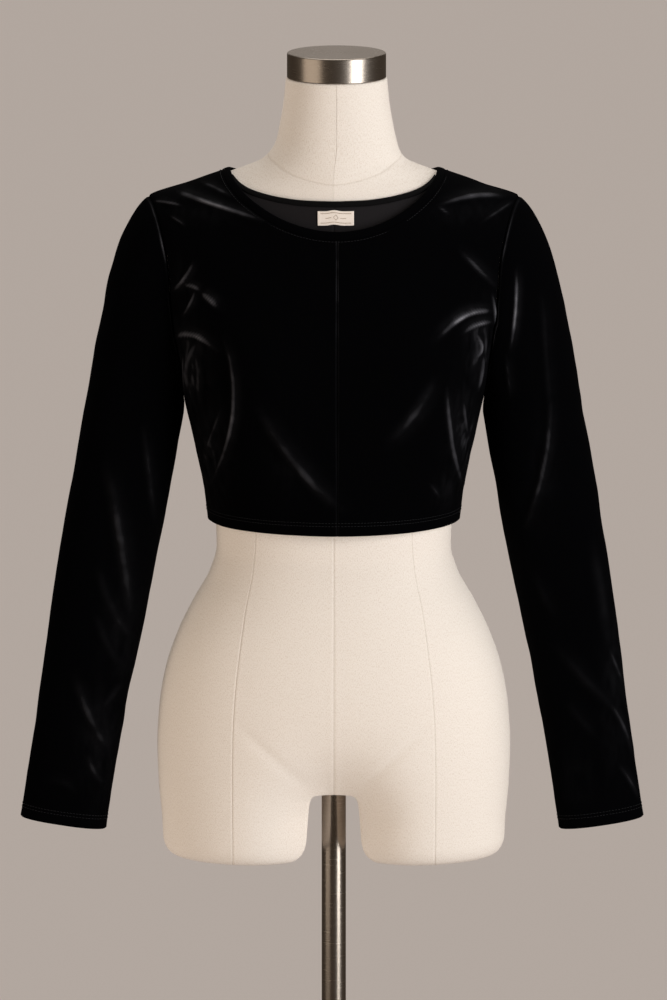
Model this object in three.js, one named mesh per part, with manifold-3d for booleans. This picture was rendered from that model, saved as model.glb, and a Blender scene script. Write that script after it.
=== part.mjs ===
// Long-sleeved crop top in stretch velvet, worn by a limbless linen dress form on a steel pole.
// Millimetres, +Z up. The front faces -Y, +X is the wearer's left, and the origin is on the
// floor under the pole.
import * as THREE from 'three';
import { mergeVertices } from 'three/addons/utils/BufferGeometryUtils.js';
import Module from 'manifold-3d';

const wasm = await Module();
wasm.setup();

// Cloth
const wall = 1.6;
const turnedWall = 2.7;
const seamGap = 0.36;
const hemDepth = 13.6;

// Landmarks of the top
const hemZ = 1009;
const armpitZ = 1135;
const shoulderZ = 1344;
const neckPoint = { x: 107, z: 1374 };
const neckDrop = { front: 54, back: 24 };
const neckCurve = { front: 1.55, back: 1.3 };
const bandOut = { atShoulder: { x: 0.94, z: -0.34 }, atMiddle: 0.96 };
const bandWidth = 8.7;
const bandWall = 2.4;
const bandAcross = [0, 0.3, 0.7, 1];
const bandCrown = [-0.4, 0.4, 0.4, -0.2];
const scyeDepth = { front: 48, back: 46 };
const frontSeamShift = 3.5;
const frontSeamShiftReach = 120;

// Outer surface of the top: half width, depth to the front and back, and squareness by height
const topSections = [
  { z: 1009, side: 130, front: 110, back: 98, square: 1.95 },
  { z: 1035, side: 133, front: 112, back: 97, square: 2.05 },
  { z: 1060, side: 137.5, front: 114, back: 97, square: 2.2 },
  { z: 1098, side: 145.5, front: 117.5, back: 98.5, square: 2.35 },
  { z: 1135, side: 154, front: 120.5, back: 101, square: 2.4 },
  { z: 1185, side: 165.6, front: 120.5, back: 104, square: 2.4 },
  { z: 1240, side: 178.8, front: 112, back: 104, square: 2.3 },
  { z: 1290, side: 186, front: 96.5, back: 97, square: 2.2 },
  { z: 1319, side: 194, front: 85.5, back: 88, square: 1.9 },
  { z: 1330, side: 195.5, front: 81.5, back: 84.5, square: 1.75 },
  { z: 1344, side: 190.3, front: 76.5, back: 80, square: 1.6 },
  { z: 1358.5, side: 150, front: 73.5, back: 75.5, square: 1.55 },
  { z: 1374, side: 107, front: 70, back: 72, square: 1.55 },
  { z: 1382, side: 85, front: 68, back: 70, square: 1.55 },
];

// Dress form, from the underside of the thigh stubs to the top of the neck
const formSections = [
  { z: 656, side: 156, front: 80, back: 102, square: 2.2 },
  { z: 658, side: 165, front: 89, back: 110, square: 2.2 },
  { z: 663, side: 172, front: 96, back: 117, square: 2.2 },
  { z: 673, side: 176, front: 101, back: 122, square: 2.2 },
  { z: 693, side: 177, front: 104, back: 125, square: 2.2 },
  { z: 733, side: 180.6, front: 108, back: 131, square: 2.2 },
  { z: 774, side: 182, front: 111, back: 136, square: 2.2 },
  { z: 814, side: 179.7, front: 112, back: 137, square: 2.2 },
  { z: 853, side: 173, front: 111, back: 132, square: 2.2 },
  { z: 891, side: 160.2, front: 107, back: 121, square: 2.2 },
  { z: 923, side: 144.7, front: 102, back: 107, square: 2.15 },
  { z: 955, side: 127.2, front: 96, back: 93, square: 2.15 },
  { z: 980, side: 120.5, front: 93, back: 86, square: 2.15 },
  { z: 1009, side: 121.5, front: 94, back: 84, square: 2.2 },
  { z: 1040, side: 127, front: 98, back: 84, square: 2.25 },
  { z: 1080, side: 136, front: 106, back: 88, square: 2.3 },
  { z: 1135, side: 147.5, front: 112.5, back: 94, square: 2.35 },
  { z: 1185, side: 158, front: 112.5, back: 98, square: 2.4 },
  { z: 1240, side: 168, front: 102, back: 97.5, square: 2.45 },
  { z: 1290, side: 176, front: 86.5, back: 89, square: 2.25 },
  { z: 1312, side: 178, front: 79, back: 82, square: 1.95 },
  { z: 1325, side: 178, front: 74.5, back: 77.5, square: 1.75 },
  { z: 1335, side: 176, front: 71.5, back: 74.5, square: 1.62 },
  { z: 1344, side: 168, front: 68.5, back: 72, square: 1.55 },
  { z: 1351, side: 158, front: 66.5, back: 70.5, square: 1.5 },
  { z: 1358.5, side: 142, front: 64.8, back: 69, square: 1.5 },
  { z: 1367, side: 115, front: 63, back: 67, square: 1.5 },
  { z: 1373.5, side: 95.5, front: 62, back: 65.5, square: 1.6 },
  { z: 1382.6, side: 73.6, front: 60, back: 63.5, square: 1.85 },
  { z: 1397, side: 63.3, front: 57.5, back: 61, square: 2 },
  { z: 1419, side: 57.9, front: 54.5, back: 57, square: 2 },
  { z: 1443, side: 54, front: 52.5, back: 54, square: 2 },
  { z: 1467, side: 51.7, front: 51.7, back: 51.7, square: 2 },
];

// The valley between the thighs: how much of the depth it takes away, by height
const thighValley = [
  { z: 656, share: 0.62 },
  { z: 700, share: 0.6 },
  { z: 722, share: 0.5 },
  { z: 740, share: 0.36 },
  { z: 762, share: 0.19 },
  { z: 786, share: 0.06 },
  { z: 812, share: 0 },
];
const thighValleyWidth = 58;

// The gap between the thigh stubs, half its outline from the floor side up
const crotchZ = 729;
const thighGap = [[52, 640], [52, 655], [41, 658.5], [33, 665], [29, 675], [27.5, 690], [26, 710],
  [24.5, 721.5], [21.5, 727], [16.5, crotchZ]];
const thighGapReach = 180;
const boreLead = 60;

// The neck stands a little to the wearer's left of the pole.
const neckLean = { from: 1376, to: 1405, shift: 2.8 };

// Bust of a general figure, a soft rise on each side of the front
const bust = { x: 82, z: 1182, width: 46, height: 52, rise: 12 };

// Where the sleeve's centre line runs and its flattened section, from the biceps to the cuff
const sleeveSections = [
  { z: 1126, x: 204.4, y: 0, width: 101.2, depth: 87 },
  { z: 1032, x: 220.3, y: -1, width: 102, depth: 80 },
  { z: 922, x: 240.3, y: -4, width: 97.9, depth: 71 },
  { z: 812.5, x: 258.1, y: -8, width: 90.3, depth: 59 },
  { z: 765, x: 265.6, y: -10, width: 88.7, depth: 53 },
  { z: 693, x: 276.1, y: -12, width: 88.7, depth: 47 },
];
const sleeveTubeHeights = [1126, 1094, 1058, 1020, 980, 940, 900, 860, 822, 784, 745];
const sleeveRoundness = 0.92;

// The sleeve's cap: how it leaves the armhole at the shoulder and at the armpit, and how far down
// that lead reaches
const capLeave = { out: { top: 0.82, bottom: 0.2 }, down: { top: 0.57, bottom: 0.98 }, forward: 0.28 };
const capLead = 0.6;
const capShares = [0, 0.06, 0.14, 0.25, 0.38, 0.52, 0.68, 0.84];
const armholeTilt = 0.35;

// Largest folds, drawn as seen from the front or the back: a bent line, its width and its rise.
// Positive x is the wearer's left.
const bodyFolds = [
  { face: 'front', from: [-160, 1351], bend: [-132, 1345], to: [-78, 1331], width: 8, rise: 1.9 },
  { face: 'front', from: [-150, 1286], bend: [-152, 1265], to: [-164, 1252], width: 6, rise: 2.2 },
  { face: 'front', from: [-160, 1205], bend: [-146, 1218], to: [-118, 1200], width: 7, rise: 2.6 },
  { face: 'front', from: [-140, 1206], bend: [-152, 1178], to: [-148, 1146], width: 9, rise: 2.4 },
  { face: 'front', from: [106, 1343], bend: [146, 1354], to: [176, 1346], width: 9, rise: 1.5 },
  { face: 'front', from: [107, 1214], bend: [136, 1240], to: [161, 1233], width: 7, rise: 2.8 },
  { face: 'front', from: [130, 1298], bend: [143, 1282], to: [166, 1258], width: 8, rise: 1.8 },
  { face: 'front', from: [146, 1216], bend: [157, 1196], to: [147, 1152], width: 8, rise: 2.2 },
  { face: 'front', from: [-112, 1210], bend: [-86, 1142], to: [-129, 1046], width: 9, rise: -2.2 },
  { face: 'front', from: [116, 1160], bend: [115, 1112], to: [133, 1046], width: 9, rise: -2 },
  { face: 'front', from: [-76, 1137], bend: [-44, 1080], to: [2, 1038], width: 10, rise: 2.6 },
  { face: 'front', from: [101, 1168], bend: [82, 1134], to: [55, 1109], width: 9, rise: 2 },
  { face: 'back', from: [-160, 1330], bend: [-120, 1318], to: [-70, 1322], width: 9, rise: 2.2 },
  { face: 'back', from: [158, 1326], bend: [122, 1312], to: [64, 1317], width: 9, rise: 2.4 },
  { face: 'back', from: [-158, 1212], bend: [-128, 1224], to: [-88, 1206], width: 8, rise: 2.4 },
  { face: 'back', from: [160, 1204], bend: [134, 1222], to: [92, 1212], width: 8, rise: 2.2 },
  { face: 'back', from: [-118, 1150], bend: [-70, 1112], to: [6, 1094], width: 10, rise: 2.2 },
  { face: 'back', from: [122, 1132], bend: [84, 1090], to: [30, 1068], width: 10, rise: 2 },
  { face: 'back', from: [-112, 1086], bend: [-62, 1052], to: [-8, 1046], width: 9, rise: 1.8 },
];
const foldEnd = 0.04;
const sleeveFolds = [
  { face: 'front', from: [-232, 1068], bend: [-212, 985], to: [-207, 885], width: 9, rise: 2.8 },
  { face: 'front', from: [-246, 916], bend: [-232, 888], to: [-214, 846], width: 9, rise: 2.4 },
  { face: 'front', from: [-262, 850], bend: [-250, 806], to: [-230, 768], width: 9, rise: 2.6 },
  { face: 'front', from: [222, 1142], bend: [224, 1078], to: [197, 1004], width: 9, rise: 2.6 },
  { face: 'front', from: [266, 990], bend: [276, 912], to: [299, 842], width: 9, rise: 2.4 },
  { face: 'front', from: [232, 880], bend: [262, 826], to: [312, 762], width: 10, rise: 2.8 },
  { face: 'back', from: [-228, 1090], bend: [-214, 1010], to: [-226, 930], width: 10, rise: 2.6 },
  { face: 'back', from: [-252, 880], bend: [-240, 830], to: [-256, 770], width: 9, rise: 2.4 },
  { face: 'back', from: [218, 1076], bend: [238, 1000], to: [224, 920], width: 10, rise: 2.6 },
  { face: 'back', from: [266, 870], bend: [248, 820], to: [262, 752], width: 9, rise: 2.4 },
];

// Inner neck layer, its binding and the label
const innerWall = 1.1;
const innerGap = 0.7;
const innerHalfWidth = 96;
const innerTop = { centre: 1343.2, end: 1354.9, curl: 3.4 };
const innerDepth = { centre: 56, end: 14 };
const innerEndLift = 0.5;
const bindingWidth = 5.2;
const bindingWall = 1.9;
const label = { width: 36, height: 13.6, wall: 0.7, top: 1338.5, x: 2 };

// Stand
const capRadius = 50.8;
const capHeight = 25.6;
const capBevel = 1.6;
const capEase = 0.6;
const poleRadius = 12.5;
const poleDepthInForm = 48;
const fitGap = 0.3;
const baseRadius = 180;
const basePlate = 10;
const baseEdge = 3;
const collarRadius = 23;
const collarHeight = 46;
const collarRounding = 2;
const socketFloor = 4;

// How finely each piece is divided
const panelColumns = 11;
const panelHeights = [0, hemDepth, 30, 48, 66, 85, 105, armpitZ - hemZ];
const armholeRows = 14;
const neckRows = 8;
const sleeveColumns = 26;
const capRowsBeforeFolds = 5;
const formColumns = 40;
const formHeights = [656, 658, 663, 673, 692, 712, 730, 748, 768, 792, 826, 863, 895, 923, 950, 980, 1015,
  1060, 1110, 1155, 1200, 1245, 1285, 1312, 1328, 1338, 1346, 1353, 1360, 1367, 1373.5, 1382, 1397, 1425,
  1467];
const innerGrid = { columns: 9, rows: 5 };
const bindingColumns = 30;
const labelGrid = { columns: 6, rows: 2 };
const foldSteps = 14;
const poleSides = 24;
const discSides = 36;

// A smooth value between the rows of a table, which never overshoots them.
function curveOf(table, key, name) {
  const keys = table.map((row) => row[key]);
  const values = table.map((row) => row[name]);
  const last = keys.length - 1;
  const secant = (i) => (values[i + 1] - values[i]) / (keys[i + 1] - keys[i]);
  const slopes = keys.map((_, i) => {
    const before = secant(Math.max(i - 1, 0));
    const after = secant(Math.min(i, last - 1));
    return before * after > 0 ? (2 * before * after) / (before + after) : 0;
  });
  return (at) => {
    const t = THREE.MathUtils.clamp(at, Math.min(keys[0], keys[last]), Math.max(keys[0], keys[last]));
    let i = 0;
    while (i < last - 1 && (t - keys[i + 1]) * (keys[last] - keys[0]) > 0) i += 1;
    const span = keys[i + 1] - keys[i];
    const u = (t - keys[i]) / span;
    const rise = u * u * (3 - 2 * u);
    const leave = u * (1 - u) * (1 - u) * span * slopes[i];
    const arrive = u * u * (u - 1) * span * slopes[i + 1];
    return values[i] * (1 - rise) + values[i + 1] * rise + leave + arrive;
  };
}

function bodyOf(sections) {
  const curve = (name) => curveOf(sections, 'z', name);
  return {
    side: curve('side'),
    front: curve('front'),
    back: curve('back'),
    square: curve('square'),
    valley: () => 0,
  };
}

const topBody = bodyOf(topSections);
const formBody = { ...bodyOf(formSections), valley: curveOf(thighValley, 'z', 'share') };

// A point on a body: turn 0 is the middle of the front, a quarter turn the wearer's left side.
function bodyPoint(body, turn, z) {
  const power = 2 / body.square(z);
  const across = Math.sin(turn);
  const forward = Math.cos(turn);
  const depth = forward >= 0 ? body.front(z) : body.back(z);
  const x = body.side(z) * Math.sign(across) * Math.abs(across) ** power;
  const valley = 1 - body.valley(z) * Math.exp(-((x / thighValleyWidth) ** 2));
  let y = -depth * Math.sign(forward) * Math.abs(forward) ** power * valley;
  if (forward > 0) {
    const offX = (Math.abs(x) - bust.x) / bust.width;
    const offZ = (z - bust.z) / bust.height;
    y -= bust.rise * Math.exp(-offX * offX - offZ * offZ) * Math.sqrt(forward);
  }
  return new THREE.Vector3(x, y, z);
}

function bodyNormal(body, turn, z) {
  const step = 0.004;
  const rise = 0.4;
  const around = bodyPoint(body, turn + step, z).sub(bodyPoint(body, turn - step, z));
  const up = bodyPoint(body, turn, z + rise).sub(bodyPoint(body, turn, z - rise));
  return around.cross(up).normalize();
}

// The turn at which a body's section reaches a distance from the middle, or a depth.
function turnAtX(body, x, z) {
  const ratio = Math.min(Math.abs(x) / body.side(z), 1);
  return Math.asin(ratio ** (body.square(z) / 2)) * Math.sign(x);
}
function turnAtDepth(body, depth, z, face) {
  const reach = face === 'front' ? body.front(z) : body.back(z);
  return Math.acos(Math.min(depth / reach, 1) ** (body.square(z) / 2));
}

// How far the folds lift the cloth at a place seen from the front or the back
function foldRise(folds, face, x, z) {
  let total = 0;
  for (const fold of folds) {
    if (fold.face !== face) continue;
    let nearest = Infinity;
    let along = 0;
    for (let k = 0; k <= foldSteps; k += 1) {
      const t = k / foldSteps;
      const a = (1 - t) * (1 - t);
      const b = 2 * t * (1 - t);
      const dx = a * fold.from[0] + b * fold.bend[0] + t * t * fold.to[0] - x;
      const dz = a * fold.from[1] + b * fold.bend[1] + t * t * fold.to[1] - z;
      const distance = Math.hypot(dx, dz);
      if (distance < nearest) {
        nearest = distance;
        along = t;
      }
    }
    const across = Math.exp(-((nearest / fold.width) ** 2));
    const inFold = THREE.MathUtils.clamp(along, foldEnd, 1 - foldEnd);
    total += fold.rise * across * Math.sqrt(Math.sin(Math.PI * inFold));
  }
  return total;
}

// Armhole seam: 0 is the shoulder point, half a turn the armpit
function armholeAt(face, beta) {
  const middle = (shoulderZ + armpitZ) / 2;
  const half = (shoulderZ - armpitZ) / 2;
  const z = middle + half * Math.cos(beta);
  const turn = turnAtDepth(topBody, scyeDepth[face] * Math.abs(Math.sin(beta)), z, face);
  return { turn, z };
}

// Neck edge: phi 0 is the middle, a quarter turn the shoulder; offset is the way out from the edge
function neckEdgeAt(face, phi, offset) {
  const { atShoulder, atMiddle } = bandOut;
  const low = Math.abs(Math.cos(phi)) ** neckCurve[face];
  const x = (neckPoint.x + atShoulder.x * offset) * Math.sin(phi);
  const drop = neckDrop[face] + (atMiddle + atShoulder.z) * offset;
  const z = neckPoint.z + atShoulder.z * offset - drop * low;
  return { turn: turnAtX(topBody, x, z), z };
}

// A closed wall through a grid of outer points, each with the way in to its inner point
function shell(points, inward, closedRound) {
  const rows = points.length;
  const columns = points[0].length;
  const positions = [];
  const indices = [];
  const vertexCount = rows * columns;
  for (const layer of [0, 1]) {
    for (let i = 0; i < rows; i += 1) {
      for (let j = 0; j < columns; j += 1) {
        const point = points[i][j].clone();
        if (layer) point.add(inward[i][j]);
        positions.push(point.x, point.y, point.z);
      }
    }
  }
  const at = (i, j) => i * columns + (j % columns);
  const quad = (a, b, c, d) => indices.push(a, b, c, a, c, d);
  const spans = closedRound ? columns : columns - 1;
  for (let i = 0; i < rows - 1; i += 1) {
    for (let j = 0; j < spans; j += 1) {
      quad(at(i, j), at(i, j + 1), at(i + 1, j + 1), at(i + 1, j));
      quad(
        vertexCount + at(i, j),
        vertexCount + at(i + 1, j),
        vertexCount + at(i + 1, j + 1),
        vertexCount + at(i, j + 1),
      );
    }
  }
  const rim = (a, b) => quad(b, a, vertexCount + a, vertexCount + b);
  for (let j = 0; j < spans; j += 1) {
    rim(at(0, j), at(0, j + 1));
    rim(at(rows - 1, j + 1), at(rows - 1, j));
  }
  if (!closedRound) {
    for (let i = 0; i < rows - 1; i += 1) {
      rim(at(i + 1, 0), at(i, 0));
      rim(at(i, columns - 1), at(i + 1, columns - 1));
    }
  }
  return closedGeometry(positions, indices);
}

// A geometry from corners and faces, turned so that its faces point out
function closedGeometry(positions, indices) {
  let volume = 0;
  const a = new THREE.Vector3();
  const b = new THREE.Vector3();
  const c = new THREE.Vector3();
  for (let k = 0; k < indices.length; k += 3) {
    a.fromArray(positions, 3 * indices[k]);
    b.fromArray(positions, 3 * indices[k + 1]);
    c.fromArray(positions, 3 * indices[k + 2]);
    volume += a.dot(b.cross(c));
  }
  const faces = volume > 0 ? indices : indices.slice().reverse();
  const geometry = new THREE.BufferGeometry();
  geometry.setAttribute('position', new THREE.Float32BufferAttribute(positions, 3));
  geometry.setIndex(faces);
  return geometry;
}

// Draws a border point back from its neighbour, and keeps its inner point off the neighbour too
function parted(point, way, neighbour) {
  point.addScaledVector(neighbour, -seamGap / 2);
  way.addScaledVector(neighbour, -Math.max(way.dot(neighbour), 0));
}

const sideways = new THREE.Vector3(1, 0, 0);
const backward = new THREE.Vector3(0, 1, 0);

function liftedTopPoint(face, side, turn, z) {
  const bodyTurn = (face === 'front' ? turn : Math.PI - turn) * side;
  const point = bodyPoint(topBody, bodyTurn, z);
  const normal = bodyNormal(topBody, bodyTurn, z);
  point.addScaledVector(normal, foldRise(bodyFolds, face, point.x, point.z));
  if (face === 'front') {
    const share = Math.min(Math.abs(point.x) / frontSeamShiftReach, 1);
    point.x += frontSeamShift * (1 - share * share) ** 2;
  }
  return { point, normal };
}

// Rows of a half panel, each from the middle or the neck edge to the side or the armhole
function panelRows(face) {
  const rows = panelHeights.map((height) => ({
    inner: { turn: 0, z: hemZ + height },
    outer: { turn: Math.PI / 2, z: hemZ + height },
    thick: height < hemDepth ? turnedWall : wall,
  }));
  const neckRow = armholeRows - neckRows;
  const edgeOffset = bandWidth + seamGap / 2;
  const neckMiddle = neckEdgeAt(face, 0, edgeOffset);
  for (let k = 1; k <= armholeRows; k += 1) {
    const outer = armholeAt(face, Math.PI * (1 - k / armholeRows));
    let inner = { turn: 0, z: THREE.MathUtils.lerp(armpitZ, neckMiddle.z, k / neckRow) };
    if (k > neckRow) {
      const phi = ((Math.PI / 2) * (k - neckRow)) / neckRows;
      inner = neckEdgeAt(face, phi, edgeOffset);
    }
    rows.push({ inner, outer, thick: wall });
  }
  const armpitRow = panelHeights.length - 1;
  return { rows, neckRow: armpitRow + neckRow, armpitRow };
}

function panel(face, side) {
  const { rows, neckRow, armpitRow } = panelRows(face);
  const towardSeam = sideways.clone().multiplyScalar(-side);
  const towardOtherFace = backward.clone().multiplyScalar(face === 'front' ? 1 : -1);
  const points = [];
  const inward = [];
  rows.forEach(({ inner, outer, thick }, i) => {
    const rowPoints = [];
    const rowInward = [];
    for (let j = 0; j <= panelColumns; j += 1) {
      const s = j / panelColumns;
      const turn = THREE.MathUtils.lerp(inner.turn, outer.turn, s);
      const z = THREE.MathUtils.lerp(inner.z, outer.z, s);
      const { point, normal } = liftedTopPoint(face, side, turn, z);
      const way = normal.clone().multiplyScalar(-thick);
      if (j === 0 && i <= neckRow) parted(point, way, towardSeam);
      if (j === panelColumns && i <= armpitRow) parted(point, way, towardOtherFace);
      if (j === panelColumns && i >= armpitRow) parted(point, way, sleeveWay(i - armpitRow, side));
      if (i === rows.length - 1) parted(point, way, towardOtherFace);
      rowPoints.push(point);
      rowInward.push(way);
    }
    points.push(rowPoints);
    inward.push(rowInward);
  });
  return shell(points, inward, false);
}

// The way from a panel into the sleeve across the armhole seam, from the armpit up
function sleeveWay(step, side) {
  const rise = step / armholeRows;
  return new THREE.Vector3(side, 0, -armholeTilt * rise).normalize();
}

// The neck band runs round the neck over the cloth's edge.
function neckBand() {
  const neckColumns = 4 * neckRows;
  const points = [];
  const inward = [];
  bandAcross.forEach((share, i) => {
    const rowPoints = [];
    const rowInward = [];
    for (let j = 0; j < neckColumns; j += 1) {
      const round = (2 * Math.PI * j) / neckColumns;
      const face = Math.cos(round) > -1e-9 ? 'front' : 'back';
      const phi = Math.asin(Math.min(Math.abs(Math.sin(round)), 1));
      const side = Math.sin(round) >= 0 ? 1 : -1;
      const offset = share * (bandWidth - seamGap / 2);
      const { turn, z } = neckEdgeAt(face, phi, offset);
      const { point, normal } = liftedTopPoint(face, side, turn, z);
      point.addScaledVector(normal, bandCrown[i]);
      rowPoints.push(point);
      rowInward.push(normal.clone().multiplyScalar(-bandWall - bandCrown[i]));
    }
    points.push(rowPoints);
    inward.push(rowInward);
  });
  return shell(points, inward, true);
}

const sleeveAxis = {
  x: curveOf(sleeveSections, 'z', 'x'),
  y: curveOf(sleeveSections, 'z', 'y'),
  width: curveOf(sleeveSections, 'z', 'width'),
  depth: curveOf(sleeveSections, 'z', 'depth'),
};

function sleeveFrame(z) {
  const step = 4;
  const top = sleeveSections[0].z;
  const bottom = sleeveSections[sleeveSections.length - 1].z;
  const above = Math.min(z + step, top);
  const below = Math.max(z - step, bottom);
  const centre = new THREE.Vector3(sleeveAxis.x(z), sleeveAxis.y(z), z);
  const down = new THREE.Vector3(sleeveAxis.x(below) - sleeveAxis.x(above), 0, below - above).normalize();
  const out = new THREE.Vector3(-down.z, 0, down.x);
  return { centre, down, out };
}

// A point of the hanging sleeve for a height on its centre line, on the wearer's left side
function sleeveTubePoint(beta, z) {
  const { centre, out } = sleeveFrame(z);
  const across = Math.sign(Math.cos(beta)) * Math.abs(Math.cos(beta)) ** sleeveRoundness;
  const forward = Math.sign(Math.sin(beta)) * Math.abs(Math.sin(beta)) ** sleeveRoundness;
  const point = centre.clone().addScaledVector(out, (sleeveAxis.width(z) / 2) * across);
  point.y -= (sleeveAxis.depth(z) / 2) * forward;
  return point;
}

// The way across the armhole seam into the sleeve, for a height share down from the shoulder
function awayFromPanel(lowness) {
  return new THREE.Vector3(1, 0, -armholeTilt * (1 - lowness)).normalize();
}

// A point of the sleeve's cap between the armhole and the hanging sleeve
function sleeveCapPoint(beta, share, side) {
  const face = Math.sin(beta) >= 0 ? 'front' : 'back';
  const fromTop = Math.acos(THREE.MathUtils.clamp(Math.cos(beta), -1, 1));
  const seam = armholeAt(face, fromTop);
  const { point: start } = liftedTopPoint(face, side, seam.turn, seam.z);
  start.x *= side;
  const lowness = (1 - Math.cos(fromTop)) / 2;
  const leave = new THREE.Vector3(
    THREE.MathUtils.lerp(capLeave.out.top, capLeave.out.bottom, lowness),
    -capLeave.forward * Math.sin(beta),
    -THREE.MathUtils.lerp(capLeave.down.top, capLeave.down.bottom, lowness),
  ).normalize();
  start.addScaledVector(awayFromPanel(lowness), seamGap / 2);
  const topZ = sleeveSections[0].z;
  const end = sleeveTubePoint(beta, topZ);
  const { down } = sleeveFrame(topZ);
  const reach = end.distanceTo(start);
  const t = share;
  const startShare = (1 + 2 * t) * (1 - t) ** 2;
  const point = start.clone().multiplyScalar(startShare);
  point.addScaledVector(leave, t * (1 - t) ** 2 * reach * capLead);
  point.addScaledVector(end, 1 - startShare);
  point.addScaledVector(down, t * t * (t - 1) * reach);
  return point;
}

function sleeve(side) {
  const bottom = sleeveSections[sleeveSections.length - 1].z;
  const tubeHeights = [...sleeveTubeHeights, bottom + hemDepth, bottom];
  const rowCount = capShares.length + tubeHeights.length;
  const plain = (i, beta) => {
    if (i < capShares.length) return sleeveCapPoint(beta, capShares[i], side);
    return sleeveTubePoint(beta, tubeHeights[i - capShares.length]);
  };
  const flat = [];
  for (let i = 0; i < rowCount; i += 1) {
    const row = [];
    for (let j = 0; j < sleeveColumns; j += 1) row.push(plain(i, (2 * Math.PI * j) / sleeveColumns));
    flat.push(row);
  }
  const points = [];
  const inward = [];
  for (let i = 0; i < rowCount; i += 1) {
    const rowPoints = [];
    const rowInward = [];
    for (let j = 0; j < sleeveColumns; j += 1) {
      const beta = (2 * Math.PI * j) / sleeveColumns;
      const next = flat[i][(j + 1) % sleeveColumns];
      const last = flat[i][(j + sleeveColumns - 1) % sleeveColumns];
      const lower = flat[Math.min(i + 1, rowCount - 1)][j];
      const upper = flat[Math.max(i - 1, 0)][j];
      const normal = next.clone().sub(last).cross(lower.clone().sub(upper)).normalize();
      const point = flat[i][j].clone();
      const face = Math.sin(beta) >= 0 ? 'front' : 'back';
      const seen = Math.sqrt(Math.abs(Math.sin(beta)));
      const settled = THREE.MathUtils.smoothstep(i, 0, capRowsBeforeFolds);
      const rise = foldRise(sleeveFolds, face, point.x * side, point.z) * seen * settled;
      point.addScaledVector(normal, rise);
      const thick = i === rowCount - 1 ? turnedWall : wall;
      const way = normal.clone().multiplyScalar(-thick);
      if (i === 0) {
        const lowness = (1 - Math.cos(beta)) / 2;
        const towardPanel = awayFromPanel(lowness).negate();
        way.addScaledVector(towardPanel, -Math.max(way.dot(towardPanel), 0));
      }
      point.x *= side;
      way.x *= side;
      rowPoints.push(point);
      rowInward.push(way);
    }
    points.push(rowPoints);
    inward.push(rowInward);
  }
  return shell(points, inward, true);
}

// Inner neck layer, laid on the chest of the form
function chestPoint(x, z, lift) {
  const turn = turnAtX(formBody, x, z);
  const endLift = innerEndLift * (x / innerHalfWidth) ** 4;
  return bodyPoint(formBody, turn, z).addScaledVector(bodyNormal(formBody, turn, z), lift + endLift);
}
function innerTopZ(x) {
  const share = Math.abs(x) / innerHalfWidth;
  return THREE.MathUtils.lerp(innerTop.centre, innerTop.end, share ** innerTop.curl);
}
function innerLayer(side) {
  const { columns, rows } = innerGrid;
  const points = [];
  const inward = [];
  for (let i = 0; i <= rows; i += 1) {
    const rowPoints = [];
    const rowInward = [];
    for (let j = 0; j <= columns; j += 1) {
      const share = j / columns;
      const x = side * Math.max(innerHalfWidth * share, seamGap / 2);
      const depth = THREE.MathUtils.lerp(innerDepth.centre, innerDepth.end, share);
      const z = innerTopZ(x) - (depth * i) / rows;
      const outer = chestPoint(x, z, innerGap + innerWall);
      const inner = chestPoint(x, z, innerGap);
      if (j === 0) {
        outer.x = x;
        inner.x = x;
      }
      rowPoints.push(outer);
      rowInward.push(inner.sub(outer));
    }
    points.push(rowPoints);
    inward.push(rowInward);
  }
  return shell(points, inward, false);
}

// The binding caps the inner layer's top edge.
function innerBinding() {
  const points = [];
  const inward = [];
  for (let i = 0; i <= 1; i += 1) {
    const rowPoints = [];
    const rowInward = [];
    for (let j = 0; j <= bindingColumns; j += 1) {
      const x = innerHalfWidth * ((2 * j) / bindingColumns - 1);
      const z = innerTopZ(x) + seamGap + bindingWidth * (1 - i);
      const outer = chestPoint(x, z, innerGap + bindingWall);
      const inner = chestPoint(x, z, innerGap);
      rowPoints.push(outer);
      rowInward.push(inner.sub(outer));
    }
    points.push(rowPoints);
    inward.push(rowInward);
  }
  return shell(points, inward, false);
}

function labelPatch() {
  const { columns, rows } = labelGrid;
  const lift = innerGap + innerWall + fitGap;
  const points = [];
  const inward = [];
  for (let i = 0; i <= rows; i += 1) {
    const rowPoints = [];
    const rowInward = [];
    for (let j = 0; j <= columns; j += 1) {
      const x = label.x + label.width * (j / columns - 0.5);
      const z = label.top - (label.height * i) / rows;
      const outer = chestPoint(x, z, lift + label.wall);
      rowPoints.push(outer);
      rowInward.push(chestPoint(x, z, lift).sub(outer));
    }
    points.push(rowPoints);
    inward.push(rowInward);
  }
  return shell(points, inward, false);
}

// A solid through rings of points, closed at both ends
function loft(rings) {
  const columns = rings[0].length;
  const positions = [];
  const indices = [];
  rings.forEach((ring) => ring.forEach((point) => positions.push(point.x, point.y, point.z)));
  const at = (i, j) => i * columns + (j % columns);
  for (let i = 0; i < rings.length - 1; i += 1) {
    for (let j = 0; j < columns; j += 1) {
      indices.push(at(i, j), at(i, j + 1), at(i + 1, j + 1));
      indices.push(at(i, j), at(i + 1, j + 1), at(i + 1, j));
    }
  }
  for (const [i, turned] of [[0, false], [rings.length - 1, true]]) {
    const middle = rings[i].reduce((sum, point) => sum.add(point), new THREE.Vector3());
    middle.divideScalar(columns);
    const centre = positions.length / 3;
    positions.push(middle.x, middle.y, middle.z);
    for (let j = 0; j < columns; j += 1) {
      const edge = turned ? [at(i, j), at(i, j + 1)] : [at(i, j + 1), at(i, j)];
      indices.push(...edge, centre);
    }
  }
  return closedGeometry(positions, indices);
}

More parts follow.
